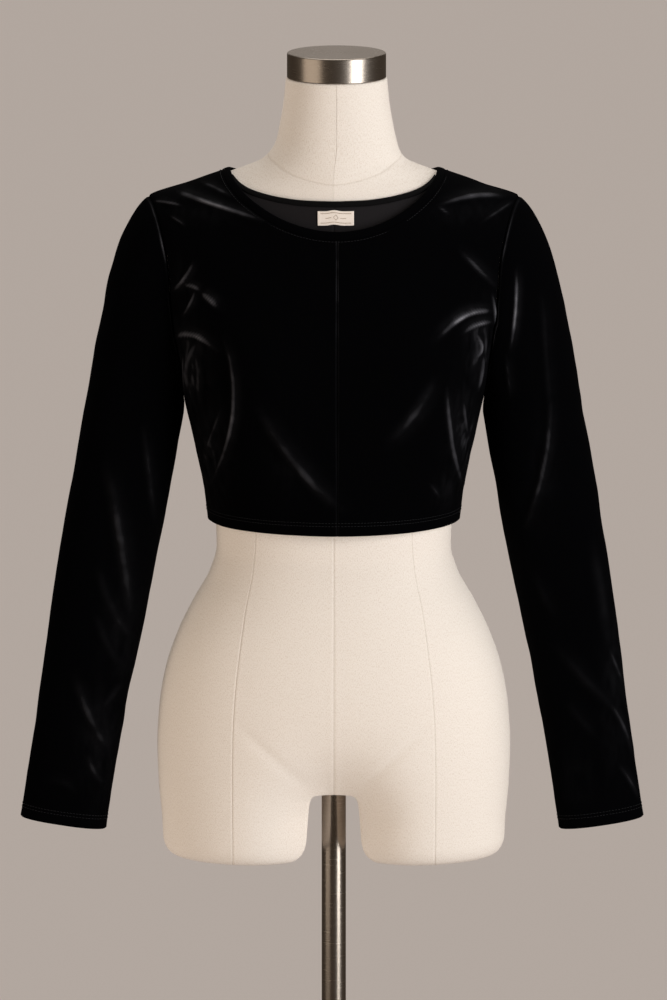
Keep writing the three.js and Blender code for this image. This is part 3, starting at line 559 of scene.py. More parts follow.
def grid_lengths(grid):
    """Distances along the rows and columns of a grid, for the cloth's own pattern."""
    along = np.linalg.norm(np.diff(grid, axis=1), axis=-1)
    down = np.linalg.norm(np.diff(grid, axis=0), axis=-1)
    u = np.concatenate([np.zeros((grid.shape[0], 1)), np.cumsum(along, 1)], 1)
    v = np.concatenate([np.zeros((1, grid.shape[1])), np.cumsum(down, 0)], 0)
    return np.stack([u, v], -1)


RIM_ROUNDING = 0.45


def shell(name, outer, inward, closed_round, material, painted_sheen=None):
    """A closed wall of cloth: outer points, the way in to the inner ones, and rounded rims."""
    rows, columns = outer.shape[:2]
    inner = outer + inward
    count = rows * columns
    points = [outer.reshape(-1, 3), inner.reshape(-1, 3)]
    uv = grid_lengths(outer).reshape(-1, 2)
    uvs = [uv, uv]
    # Painted sheen on the outer face only, none inside, half of it on the rims.
    flat_painted_sheen = np.zeros(count) if painted_sheen is None else painted_sheen.reshape(-1)
    painted_sheens = [flat_painted_sheen, 0 * flat_painted_sheen]
    span = columns if closed_round else columns - 1
    i, j = np.meshgrid(np.arange(rows - 1), np.arange(span), indexing="ij")
    a, b = i * columns + j, i * columns + (j + 1) % columns
    c, d = (i + 1) * columns + (j + 1) % columns, (i + 1) * columns + j
    quads = np.stack([a, b, c, d], -1).reshape(-1, 4)
    faces = quads.tolist() + (quads[:, ::-1] + count).tolist()

    def rim(line, outward):
        """Closes a border with a rounded edge."""
        start = sum(len(block) for block in points)
        middle = outer.reshape(-1, 3)[line] + 0.5 * inward.reshape(-1, 3)[line]
        thick = np.linalg.norm(inward.reshape(-1, 3)[line], axis=-1, keepdims=True)
        points.append(middle + outward * thick * RIM_ROUNDING)
        uvs.append(uv[line])
        painted_sheens.append(0.5 * flat_painted_sheen[line])
        for k in range(len(line) if closed_round else len(line) - 1):
            n = (k + 1) % len(line)
            faces.append([line[n], line[k], start + k, start + n])
            faces.append([start + n, start + k, line[k] + count, line[n] + count])

    top = np.arange(columns)
    rim(top, unit(outer[0] - outer[1]))
    bottom = (rows - 1) * columns + np.arange(columns)
    rim(bottom[::-1], unit(outer[-1] - outer[-2])[::-1])
    if not closed_round:
        left = np.arange(rows) * columns
        rim(left[::-1], unit(outer[:, 0] - outer[:, 1])[::-1])
        rim(left + columns - 1, unit(outer[:, -1] - outer[:, -2]))
        faces.extend(corner_faces(rows, columns, count))
    all_points = np.concatenate(points)
    if volume_sign(all_points, faces) < 0:
        faces = [face[::-1] for face in faces]
    marks = {"painted_sheen": np.concatenate(painted_sheens)}
    return new_object(name, all_points, faces, material, np.concatenate(uvs), marks)


def corner_faces(rows, columns, count):
    """The small triangles that close a wall's four corners between its rounded rims."""
    top = 2 * count
    bottom = top + columns
    left = bottom + columns
    right = left + rows
    corners = [
        (0, top, left + rows - 1),
        (columns - 1, top + columns - 1, right),
        ((rows - 1) * columns, bottom + columns - 1, left),
        (rows * columns - 1, bottom, right + rows - 1),
    ]
    faces = []
    for k, (corner, first, second) in enumerate(corners):
        turned = k in (1, 2)
        outer_face = [corner, first, second]
        inner_face = [corner + count, second, first]
        faces.append(outer_face[::-1] if turned else outer_face)
        faces.append(inner_face[::-1] if turned else inner_face)
    return faces


# Materials

def linear(hex_colour):
    """An sRGB hex colour as linear values."""
    values = [int(hex_colour[k : k + 2], 16) / 255 for k in (1, 3, 5)]
    return [v / 12.92 if v <= 0.04045 else ((v + 0.055) / 1.055) ** 2.4 for v in values] + [1.0]


def add_node(tree, kind, settings=None, links=None):
    """Adds a node, sets its properties and sockets, and links its inputs."""
    node = tree.nodes.new(kind)
    for name, value in (settings or {}).items():
        if isinstance(name, str) and hasattr(node, name):
            setattr(node, name, value)
        else:
            node.inputs[name].default_value = value
    for name, source in (links or {}).items():
        tree.links.new(source, node.inputs[name])
    return node


def start_material(name, settings):
    material = bpy.data.materials.new(name)
    material.use_nodes = True
    tree = material.node_tree
    surface = tree.nodes["Principled BSDF"]
    for key, value in settings.items():
        surface.inputs[key].default_value = value
    return material, tree, surface


def colour_ramp(tree, factor, stops):
    ramp = add_node(tree, "ShaderNodeValToRGB", {}, {"Fac": factor})
    elements = ramp.color_ramp.elements
    while len(elements) < len(stops):
        elements.new(0.5)
    for element, (position, colour) in zip(elements, stops):
        element.position = position
        element.color = linear(colour)
    return ramp


def stretch_velvet():
    """Knitted stretch velvet, dyed black: a short pile that drinks light face on. At creases, seams
    and crumpled places a painted highlight lightens it to a cool grey, and there it is drawn smoother.
    The pile is finer than 0.1 mm; its bump is drawn 0.8 mm coarse so that it shows."""
    material, tree, surface = start_material("stretch velvet", {
        "IOR": 1.45,
        "Specular IOR Level": 0.035,
        "Sheen Weight": 0.002,
        "Sheen Roughness": 0.3,
        "Sheen Tint": linear("#a4a4d2"),
    })
    place = add_node(tree, "ShaderNodeTexCoord").outputs["Object"]
    nap_lie = add_node(tree, "ShaderNodeMapping", {"Scale": (1.0, 1.0, 0.35)}, {"Vector": place})
    strokes = add_node(tree, "ShaderNodeTexNoise", {"Scale": 330.0, "Detail": 5.0, "Roughness": 0.62},
                       {"Vector": nap_lie.outputs["Vector"]})
    # Painted highlight: the painted sheen mark, broken into patches, lightens the black along the ramp and
    # lowers the roughness.
    painted_sheen = add_node(tree, "ShaderNodeAttribute", {"attribute_name": "painted_sheen"}).outputs["Fac"]
    patches = add_node(tree, "ShaderNodeTexNoise", {"Scale": 62.0, "Detail": 1.0, "Roughness": 0.5},
                       {"Vector": place})
    broken = add_node(tree, "ShaderNodeMapRange", {"From Min": 0.28, "From Max": 0.72, "To Min": 0.55},
                      {"Value": patches.outputs["Fac"]})
    lustre = add_node(tree, "ShaderNodeMath", {"operation": "MULTIPLY"},
                      {0: painted_sheen, 1: broken.outputs["Result"]})
    colour = colour_ramp(tree, lustre.outputs["Value"],
                         [(0.0, "#010102"), (0.18, "#0a0a0c"), (0.5, "#38383c"), (1.0, "#84848a")])
    tree.links.new(colour.outputs["Color"], surface.inputs["Base Color"])
    rough = add_node(tree, "ShaderNodeMapRange", {"From Max": 0.6, "To Min": 0.95, "To Max": 0.34},
                     {"Value": lustre.outputs["Value"]})
    tree.links.new(rough.outputs["Result"], surface.inputs["Roughness"])
    pile = add_node(tree, "ShaderNodeTexNoise", {"Scale": 1300.0, "Detail": 3.0}, {"Vector": place})
    pile_bump = add_node(tree, "ShaderNodeBump", {"Strength": 0.3, "Distance": 0.0005},
                         {"Height": pile.outputs["Fac"]})
    brushed_bump = add_node(tree, "ShaderNodeBump", {"Strength": 0.22, "Distance": 0.001},
                            {"Height": strokes.outputs["Fac"], "Normal": pile_bump.outputs["Normal"]})
    tree.links.new(brushed_bump.outputs["Normal"], surface.inputs["Normal"])
    return material


def weave_height(tree, warp_mm, weft_mm):
    """Plain weave from two crossed waves on the cloth's own lengths."""
    place = add_node(tree, "ShaderNodeTexCoord").outputs["UV"]
    wobble = add_node(tree, "ShaderNodeTexNoise", {"Scale": 90.0, "Detail": 2.0}, {"Vector": place})
    shaken = add_node(tree, "ShaderNodeMixRGB", {"blend_type": "ADD", "Fac": 0.0022},
                      {"Color1": place, "Color2": wobble.outputs["Color"]})
    bands_a_metre = math.pi * 2 / 20
    threads = []
    for direction, spacing_mm in (("X", warp_mm), ("Y", weft_mm)):
        wave = add_node(tree, "ShaderNodeTexWave",
                        {"bands_direction": direction, "Scale": bands_a_metre / (spacing_mm * MM),
                         "Distortion": 0.6, "Detail": 2.0, "Detail Scale": 1.2},
                        {"Vector": shaken.outputs["Color"]})
        threads.append(wave.outputs["Fac"])
    crossed = add_node(tree, "ShaderNodeMath", {"operation": "MULTIPLY"}, {0: threads[0], 1: threads[1]})
    return crossed.outputs["Value"]


def ivory_linen():
    """Plain-woven linen stretched over the form: matt, with thicker threads here and there. The
    real threads are about 0.5 mm apart; they are drawn 1.1 mm apart so that the weave shows."""
    material, tree, surface = start_material("ivory linen", {
        "Roughness": 0.94,
        "Sheen Weight": 0.08,
        "Sheen Roughness": 0.5,
        "Specular IOR Level": 0.22,
    })
    weave = weave_height(tree, 1.1, 1.1)
    place = add_node(tree, "ShaderNodeTexCoord").outputs["UV"]
    slubs_place = add_node(tree, "ShaderNodeMapping", {"Scale": (60.0, 700.0, 1.0)}, {"Vector": place})
    slubs = add_node(tree, "ShaderNodeTexNoise", {"Scale": 1.0, "Detail": 3.0},
                     {"Vector": slubs_place.outputs["Vector"]})
    upright = add_node(tree, "ShaderNodeMapping", {"Scale": (1500.0, 420.0, 1.0)}, {"Vector": place})
    threads = add_node(tree, "ShaderNodeTexNoise", {"Scale": 1.0, "Detail": 3.0, "Roughness": 0.6},
                       {"Vector": upright.outputs["Vector"]})
    fleck = add_node(tree, "ShaderNodeTexNoise", {"Scale": 850.0, "Detail": 3.0, "Roughness": 0.7},
                     {"Vector": place})
    both = add_node(tree, "ShaderNodeMath", {"operation": "ADD"},
                    {0: threads.outputs["Fac"], 1: fleck.outputs["Fac"]})
    all_threads = add_node(tree, "ShaderNodeMath", {"operation": "MULTIPLY_ADD", 1: 0.25},
                           {0: weave, 2: both.outputs["Value"]})
    colour = colour_ramp(tree, all_threads.outputs["Value"],
                         [(0.75, "#ddd1c4"), (1.05, "#ebe1d6"), (1.3, "#f1e9e0")])
    # Painted shade in the seam grooves: the mark darkens the linen toward brown.
    painted_groove_shade = add_node(tree, "ShaderNodeAttribute", {"attribute_name": "painted_groove_shade"}).outputs["Fac"]
    shaded = add_node(tree, "ShaderNodeMixRGB", {"blend_type": "MIX", "Color2": linear("#9c846c")},
                      {"Fac": painted_groove_shade, "Color1": colour.outputs["Color"]})
    tree.links.new(shaded.outputs["Color"], surface.inputs["Base Color"])
    height = add_node(tree, "ShaderNodeMath", {"operation": "ADD"},
                      {0: all_threads.outputs["Value"], 1: slubs.outputs["Fac"]})
    bump = add_node(tree, "ShaderNodeBump", {"Strength": 0.35, "Distance": 0.0006},
                    {"Height": height.outputs["Value"]})
    tree.links.new(bump.outputs["Normal"], surface.inputs["Normal"])
    return material


def close_cloth(name, settings, threads_mm, stops, bump_strength, bump_depth):
    """A close cloth in one colour, with its threads drawn as a fine relief."""
    material, tree, surface = start_material(name, settings)
    weave = weave_height(tree, *threads_mm)
    colour = colour_ramp(tree, weave, stops)
    tree.links.new(colour.outputs["Color"], surface.inputs["Base Color"])
    bump = add_node(tree, "ShaderNodeBump", {"Strength": bump_strength, "Distance": bump_depth},
                    {"Height": weave})
    tree.links.new(bump.outputs["Normal"], surface.inputs["Normal"])
    return material


def thread(name, dark, light):
    """Spun polyester sewing thread: two plies give a fine slanting grain."""
    material, tree, surface = start_material(name, {"Roughness": 0.7, "Specular IOR Level": 0.2})
    place = add_node(tree, "ShaderNodeTexCoord").outputs["Object"]
    plies = add_node(tree, "ShaderNodeTexWave",
                     {"bands_direction": "DIAGONAL", "Scale": 700.0, "Distortion": 1.0},
                     {"Vector": place})
    colour = colour_ramp(tree, plies.outputs["Fac"], [(0.0, dark), (1.0, light)])
    tree.links.new(colour.outputs["Color"], surface.inputs["Base Color"])
    return material


def brushed_steel(name, rough):
    """Stainless steel brushed finely round its axis and nearly bright: it mirrors the studio in
    upright stripes, a little drawn out. The scratches run round the walls and round the flat tops."""
    material, tree, surface = start_material(name, {
        "Metallic": 1.0,
        "Anisotropic": 0.3,
    })
    place = add_node(tree, "ShaderNodeTexCoord").outputs["Object"]
    sides = add_node(tree, "ShaderNodeSeparateXYZ", {}, {"Vector": place})
    level = add_node(tree, "ShaderNodeMapping", {"Scale": (1.0, 1.0, 0.0)}, {"Vector": place})
    radius = add_node(tree, "ShaderNodeVectorMath", {"operation": "LENGTH"},
                      {0: level.outputs["Vector"]}).outputs["Value"]
    turned = add_node(tree, "ShaderNodeCombineXYZ", {},
                      {"X": radius, "Y": sides.outputs["X"], "Z": sides.outputs["Z"]})
    stretched = add_node(tree, "ShaderNodeMapping", {"Scale": (2600.0, 40.0, 2600.0)},
                         {"Vector": turned.outputs["Vector"]})
    scratches = add_node(tree, "ShaderNodeTexNoise", {"Scale": 1.0, "Detail": 4.0, "Roughness": 0.6},
                         {"Vector": stretched.outputs["Vector"]})
    colour = colour_ramp(tree, scratches.outputs["Fac"], [(0.25, "#9f958b"), (0.75, "#b0a79d")])
    tree.links.new(colour.outputs["Color"], surface.inputs["Base Color"])
    roughness = add_node(tree, "ShaderNodeMapRange", {"To Min": rough - 0.04, "To Max": rough + 0.04},
                         {"Value": scratches.outputs["Fac"]})
    tree.links.new(roughness.outputs["Result"], surface.inputs["Roughness"])
    bump = add_node(tree, "ShaderNodeBump", {"Strength": 0.05, "Distance": 0.0001},
                    {"Height": scratches.outputs["Fac"]})
    tree.links.new(bump.outputs["Normal"], surface.inputs["Normal"])
    return material


VELVET = stretch_velvet()
LINEN = ivory_linen()
# Smooth dark grey knit with fine ribs, which gives a faint soft shine
INNER_CLOTH = close_cloth("smooth inner knit",
                          {"Roughness": 0.75, "Sheen Weight": 0.02, "Specular IOR Level": 0.15},
                          (0.9, 1.3), [(0.0, "#121012"), (0.6, "#1d1a1c")], 0.2, 0.0003)
# Folded black elastic, matt and ribbed, which reads as a dark line
BINDING_CLOTH = close_cloth("black elastic binding", {"Roughness": 0.85, "Specular IOR Level": 0.1},
                            (1.1, 1.1), [(0.0, "#040404"), (0.7, "#0c0b0d")], 0.4, 0.0004)
# Cream satin tape with fine ribs, the lightest spot on the top
TAPE = close_cloth("cream woven tape",
                   {"Roughness": 0.62, "Specular IOR Level": 0.35, "Sheen Weight": 0.2},
                   (0.8, 0.6), [(0.0, "#e8dacc"), (0.6, "#fcf5ef")], 0.3, 0.0002)
BLACK_THREAD = thread("black sewing thread", "#060607", "#16161a")
BROWN_THREAD = thread("brown embroidery thread", "#7d6448", "#a0835f")
STEEL = brushed_steel("brushed steel", 0.26)


# The top

# Grid of a half panel: fine columns at both borders, rows of the hem, below the armpit and above it
FINE_EDGE = (0, 0.002, 0.0045, 0.0075, 0.011, 0.0155)
MIDDLE_FROM = 0.022
MIDDLE_COLUMNS = 115
HEM_ROWS = 7
PLAIN_ROWS = 77
ARMHOLE_ROWS = 128
NECK_ROWS = 72
NECK_EDGE_ROW = ARMHOLE_ROWS - NECK_ROWS
# Grid of a sleeve: rows of the cap, drawn together at its seam, of the hanging part and of the cuff
SLEEVE_COLUMNS = 150
CAP_ROWS = 60
CAP_CROWDING = 1.15
CAP_SETTLES = 28
SLEEVE_TUBE_ROWS = 182
CUFF_ROWS = 6
SLEEVE_SQUARENESS = 0.92
# How far the armhole's seam leans in from upright
ARMHOLE_LEAN = 0.35
# How the cap leaves its seam, outward, round and downward, with the change toward the armpit
CAP_OUT, CAP_ROUND, CAP_DOWN = (0.82, -0.62), -0.28, (-0.57, -0.41)
CAP_FULLNESS = 0.6
# Seams draw the cloth in. A painted highlight lies along their edges.
SEAM_PUCKER = 0.9
SEAM_PUCKER_WIDTH = 1.5
MIDDLE_SEAM = {"place": 0.9, "width": 0.5, "shine": 0.2, "more_above": 0.14, "reach": 60.0}
SLEEVE_SEAM = {"place": 2.4, "width": 1.2, "steady": 0.75, "swing": 0.6, "wave": 22.0}
SLEEVE_SEAM_SHINE = {1: 0.55, -1: 0.6}
SMOOTH_BY_ARMHOLE = 20.0
SMOOTH_BY_MIDDLE = 14.0
NEAR_MIDDLE_TURN = 0.5
BAND_ACROSS = np.array([0, 0.06, 0.16, 0.3, 0.5, 0.7, 0.84, 0.94, 1])
BAND_CROWN = {"rise": 1.1, "sunk": 0.6}
BAND_WALL = 2.2


def bell(distance, width):
    return np.exp(-((distance / width) ** 2))


def crowned(across, rise, sunk):
    """The rounded height across a folded band, whose edges lie sunk."""
    return rise * np.sqrt(np.maximum(1 - (2 * across - 1) ** 2, 0)) - sunk


def armhole_at(face, beta):
    """The armhole seam: 0 is the shoulder point, half a turn the armpit."""
    middle, half = (SHOULDER_Z + ARMPIT_Z) / 2, (SHOULDER_Z - ARMPIT_Z) / 2
    z = middle + half * np.cos(beta)
    return TOP.turn_at_depth(SCYE_DEPTH[face] * np.abs(np.sin(beta)), z, face), z


def neck_edge_at(face, phi, offset):
    """The neck edge: 0 is the middle, a quarter turn the shoulder; offset is the way out."""
    out_x, out_z, out_middle = 0.94, -0.34, 0.96
    low = np.abs(np.cos(phi)) ** NECK_SHAPE[face]
    x = (NECK_POINT[0] + out_x * offset) * np.sin(phi)
    drop = NECK_DROP[face] + out_middle * offset + out_z * offset
    z = NECK_POINT[1] + out_z * offset - drop * low
    return TOP.turn_at_x(x, z), z


def lifted_top(face, side, turn, z):
    """Points and normals of the top's outer surface with its creases."""
    body_turn = (turn if face == "front" else math.pi - turn) * side
    point = TOP.point(body_turn, z)
    normal = TOP.normal(body_turn, z)
    rise, shine = fold_marks(BODY_FOLDS, face, point[..., 0], point[..., 2])
    point = point + normal * rise[..., None]
    if face == "front":
        share = np.minimum(np.abs(point[..., 0]) / SEAM_SHIFT_REACH, 1)
        point[..., 0] += SEAM_SHIFT * (1 - share**2) ** 2
    return point, normal, shine


def panel_rows(face):
    """Rows of a half panel, from the middle or neck edge to the side or armhole."""
    inner_turn, inner_z, outer_turn, outer_z, thick = [], [], [], [], []
    lower = np.concatenate([np.linspace(0, HEM_DEPTH, HEM_ROWS + 1)[:-1],
                            np.linspace(HEM_DEPTH, ARMPIT_Z - HEM_Z, PLAIN_ROWS)])
    for height in lower:
        inner_turn.append(0.0)
        outer_turn.append(math.pi / 2)
        inner_z.append(HEM_Z + height)
        outer_z.append(HEM_Z + height)
        thick.append(TURNED_WALL if height < HEM_DEPTH else WALL)
    edge_offset = BAND_WIDTH + SEAM_GAP / 2
    middle_z = float(neck_edge_at(face, 0.0, edge_offset)[1])
    for k in range(1, ARMHOLE_ROWS + 1):
        turn, z = armhole_at(face, math.pi * (1 - k / ARMHOLE_ROWS))
        outer_turn.append(float(turn))
        outer_z.append(float(z))
        if k <= NECK_EDGE_ROW:
            inner_turn.append(0.0)
            inner_z.append(ARMPIT_Z + (middle_z - ARMPIT_Z) * k / NECK_EDGE_ROW)
        else:
            turn, z = neck_edge_at(face, math.pi / 2 * (k - NECK_EDGE_ROW) / NECK_ROWS, edge_offset)
            inner_turn.append(float(turn))
            inner_z.append(float(z))
        thick.append(WALL)
    return [np.array(v) for v in (inner_turn, inner_z, outer_turn, outer_z, thick)], len(lower)


def part_from(point, way, neighbour):
    """Draws border points back from the neighbour and keeps the inner ones off it."""
    point -= neighbour * (SEAM_GAP / 2)
    way -= np.maximum((way * neighbour).sum(-1, keepdims=True), 0) * neighbour


def sleeve_way(share, side):
    ways = np.stack([np.full_like(share, side), np.zeros_like(share), -ARMHOLE_LEAN * share], -1)
    return unit(ways)


def make_panel(face, side, seed):
    (inner_turn, inner_z, outer_turn, outer_z, thick), lower = panel_rows(face)
    edge = np.array(FINE_EDGE)
    middle = np.linspace(MIDDLE_FROM, 1 - MIDDLE_FROM, MIDDLE_COLUMNS)
    s = np.concatenate([edge, middle, 1 - edge[::-1]])[None, :]
    turn = inner_turn[:, None] * (1 - s) + outer_turn[:, None] * s
    z = inner_z[:, None] * (1 - s) + outer_z[:, None] * s
    point, normal, shine = lifted_top(face, side, turn, z)
    near_middle = turn < NEAR_MIDDLE_TURN
    from_middle = np.abs(point[..., 0] - (SEAM_SHIFT if face == "front" else 0))
    to_armhole = np.linalg.norm(point - point[:, -1:], axis=-1)
    pucker = SEAM_PUCKER * np.maximum(bell(from_middle, SEAM_PUCKER_WIDTH) * near_middle,
                                      bell(to_armhole, SEAM_PUCKER_WIDTH))
    crumple_and_sheen = crumple_and_sheen_share(face, point[..., 0], point[..., 2])
    uneven, crumple_painted_sheen = uneven_cloth_and_sheen(point, crumple_and_sheen, PANEL_WAVES, seed)
    # Painted highlight beside the middle seam, stronger above the armpit.
    above = smooth((point[..., 2] - ARMPIT_Z) / MIDDLE_SEAM["reach"])
    seam_shine = MIDDLE_SEAM["shine"] + MIDDLE_SEAM["more_above"] * above
    seam_shine = seam_shine * bell(from_middle - MIDDLE_SEAM["place"], MIDDLE_SEAM["width"]) * near_middle
    # Painted sheen of creases, crumpled places and the middle seam, whichever is strongest.
    painted_sheen = np.maximum(np.maximum(shine, crumple_painted_sheen), seam_shine)
    ease = np.clip(to_armhole / SMOOTH_BY_ARMHOLE, 0, 1) * np.clip(from_middle / SMOOTH_BY_MIDDLE, 0, 1)
    point = point + normal * (uneven * ease - pucker)[..., None]
    way = -normal * thick[:, None, None]
    toward_other = np.array([0, 1.0 if face == "front" else -1.0, 0])
    armpit_row = lower - 1
    neck_row = armpit_row + NECK_EDGE_ROW
    part_from(point[: neck_row + 1, 0], way[: neck_row + 1, 0], np.array([-side, 0.0, 0.0]))
    part_from(point[: armpit_row + 1, -1], way[: armpit_row + 1, -1], toward_other)
    share = np.linspace(0, 1, ARMHOLE_ROWS + 1)
    part_from(point[armpit_row:, -1], way[armpit_row:, -1], sleeve_way(share, side))
    part_from(point[-1], way[-1], toward_other)
    piece = shell(f"velvet_{face}_{SIDE_NAME[side]}", point, way, False, VELVET, painted_sheen)
    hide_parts(f"{face}_{SIDE_NAME[side]}")
    return piece, point


def neck_band_grid(across):
    """Points of the neck band for shares of its width, with their normals."""
    rounds = np.arange(4 * NECK_ROWS) * (math.pi / 2 / NECK_ROWS)
    grid, normals = [], []
    for share in across:
        row, row_normals = [], []
        for face, part in (("front", np.cos(rounds) > -1e-9), ("back", np.cos(rounds) <= -1e-9)):
            angle = rounds[part]
            phi = np.arcsin(np.clip(np.abs(np.sin(angle)), 0, 1))
            turn, z = neck_edge_at(face, phi, share * (BAND_WIDTH - SEAM_GAP / 2))
            side = np.where(np.sin(angle) >= 0, 1, -1)
            point, normal = lifted_top(face, side, turn, z)[:2]
            row.append((angle, point))
            row_normals.append(normal)
        angle = np.concatenate([row[0][0], row[1][0]])
        order = np.argsort(angle)
        grid.append(np.concatenate([row[0][1], row[1][1]])[order])
        normals.append(np.concatenate(row_normals)[order])
    return np.array(grid), np.array(normals)


def make_neck_band():
    crown = crowned(BAND_ACROSS, **BAND_CROWN)
    grid, normals = neck_band_grid(BAND_ACROSS)
    point = grid + normals * crown[:, None, None]
    way = -normals * (BAND_WALL + crown[:, None, None])
    piece = shell("velvet_neck_band", point, way, True, VELVET)
    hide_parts("neck_band")
    return piece, point


SLEEVE = {name: curve_of(SLEEVE_SECTIONS, "z", name) for name in ("x", "y", "width", "depth")}


def sleeve_frame(z):
    step = 4.0
    top, bottom = SLEEVE_SECTIONS[0].z, SLEEVE_SECTIONS[-1].z
    above, below = np.minimum(z + step, top), np.maximum(z - step, bottom)
    centre = np.stack([SLEEVE["x"](z), SLEEVE["y"](z), z], -1)
    down = unit(np.stack([SLEEVE["x"](below) - SLEEVE["x"](above), 0 * z, below - above], -1))
    out = np.stack([-down[..., 2], 0 * z, down[..., 0]], -1)
    return centre, down, out


def sleeve_tube(beta, z):
    beta, z = np.broadcast_arrays(beta, np.asarray(z, float))
    centre, _, out = sleeve_frame(z)
    across = np.sign(np.cos(beta)) * np.abs(np.cos(beta)) ** SLEEVE_SQUARENESS
    forward = np.sign(np.sin(beta)) * np.abs(np.sin(beta)) ** SLEEVE_SQUARENESS
    point = centre + out * (SLEEVE["width"](z) / 2 * across)[..., None]
    point[..., 1] -= SLEEVE["depth"](z) / 2 * forward
    return point


def sleeve_cap(beta, share, side):
    """The cap of the sleeve, between the armhole and the hanging sleeve, one row at a time."""
    from_top = np.arccos(np.clip(np.cos(beta), -1, 1))
    start = np.zeros(beta.shape + (3,))
    for face, part in (("front", np.sin(beta) >= 0), ("back", np.sin(beta) < 0)):
        turn, z = armhole_at(face, from_top[part])
        start[part] = lifted_top(face, side, turn, z)[0]
    start[..., 0] *= side
    lowness = (1 - np.cos(from_top)) / 2
    leave = unit(np.stack([CAP_OUT[0] + CAP_OUT[1] * lowness, CAP_ROUND * np.sin(beta),
                           CAP_DOWN[0] + CAP_DOWN[1] * lowness], -1))
    across_seam = unit(np.stack([np.ones_like(beta), 0 * beta, -ARMHOLE_LEAN * (1 - lowness)], -1))
    start = start + across_seam * SEAM_GAP / 2
    top_z = np.full(beta.shape, float(SLEEVE_SECTIONS[0].z))
    end = sleeve_tube(beta, top_z)
    down = sleeve_frame(top_z)[1]
    reach = np.linalg.norm(end - start, axis=-1, keepdims=True)
    start_share = (1 + 2 * share) * (1 - share) ** 2
    point = start * start_share + end * (1 - start_share)
    point = point + leave * reach * (CAP_FULLNESS * share * (1 - share) ** 2)
    return point + down * reach * (share * share * (share - 1))


def make_sleeve(side, seed):
    beta = np.arange(SLEEVE_COLUMNS) * (2 * math.pi / SLEEVE_COLUMNS)
    cap_shares = np.linspace(0, 1, CAP_ROWS + 1)[:-1] ** CAP_CROWDING
    top, bottom = SLEEVE_SECTIONS[0].z, SLEEVE_SECTIONS[-1].z
    tube_heights = np.concatenate([np.linspace(top, bottom + HEM_DEPTH, SLEEVE_TUBE_ROWS),
                                   np.linspace(bottom + HEM_DEPTH, bottom, CUFF_ROWS + 1)[1:]])
    rows = [sleeve_cap(beta, share, side) for share in cap_shares]
    rows += [sleeve_tube(beta, np.full(beta.shape, z)) for z in tube_heights]
    flat = np.array(rows)
    normal = unit(np.cross(np.roll(flat, -1, 1) - np.roll(flat, 1, 1), np.gradient(flat, axis=0)))
    settled = smooth(np.arange(len(rows)) / CAP_SETTLES)[:, None]
    rise, shine = np.zeros(flat.shape[:2]), np.zeros(flat.shape[:2])
    for face, part in (("front", np.sin(beta) >= 0), ("back", np.sin(beta) < 0)):
        seen = np.sqrt(np.abs(np.sin(beta[part])))
        lift, gleam = fold_marks(SLEEVE_FOLDS, face, flat[:, part, 0] * side, flat[:, part, 2])
        rise[:, part], shine[:, part] = lift * seen, gleam * seen
    crumple_and_sheen = crumple_and_sheen_share("sleeve", flat[..., 0] * side, flat[..., 2])
    uneven, crumple_painted_sheen = uneven_cloth_and_sheen(flat, crumple_and_sheen, SLEEVE_WAVES, seed)
    from_seam = np.linalg.norm(flat - flat[:1], axis=-1)
    # Painted highlight beside the armhole seam, on the sleeve's front half only.
    on_seam = bell(from_seam - SLEEVE_SEAM["place"], SLEEVE_SEAM["width"])
    on_seam = on_seam * np.sqrt(np.clip(np.sin(beta), 0, 1))
    seam_shine = SLEEVE_SEAM["steady"] + SLEEVE_SEAM["swing"] * waviness(flat, SLEEVE_SEAM["wave"], seed + 11)
    seam_shine = SLEEVE_SEAM_SHINE[side] * on_seam * seam_shine
    # Painted sheen of creases, crumpled places and the seam, whichever is strongest.
    painted_sheen = np.maximum(np.maximum(shine, crumple_painted_sheen), seam_shine)
    pucker = SEAM_PUCKER * bell(from_seam, SEAM_PUCKER_WIDTH)
    point = flat + normal * ((rise + uneven) * settled - pucker)[..., None]
    thick = np.full((len(rows), 1, 1), WALL)
    thick[-CUFF_ROWS:] = TURNED_WALL
    way = -normal * thick
    lowness = (1 - np.cos(beta)) / 2
    toward_panel = unit(np.stack([-np.ones_like(beta), 0 * beta, ARMHOLE_LEAN * (1 - lowness)], -1))
    way[0] -= np.maximum((way[0] * toward_panel).sum(-1, keepdims=True), 0) * toward_panel
    if side < 0:
        point[..., 0] += RIGHT_SLEEVE_SPLAY * np.clip((top - point[..., 2]) / (top - bottom), 0, 1)
    point[..., 0] *= side
    way[..., 0] *= side
    piece = shell(f"velvet_sleeve_{SIDE_NAME[side]}", point, way, True, VELVET, painted_sheen)
    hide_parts(f"sleeve_{SIDE_NAME[side]}")
    return piece, point


# Stitches

STITCH = {"spacing": 3.3, "length": 2.5, "radius": 0.36}
STITCH_HEIGHTS = (9.7, 13.0)
STITCH_PROFILE = [(-0.5, 0.3), (-0.38, 0.85), (0.0, 1.0), (0.38, 0.85), (0.5, 0.3)]
STITCH_SIDES = 5
STITCH_LIFT = 0.05
STITCH_PROUD = 0.2
STITCH_STEP = 0.3
NECK_STITCH_BELOW = 1.7


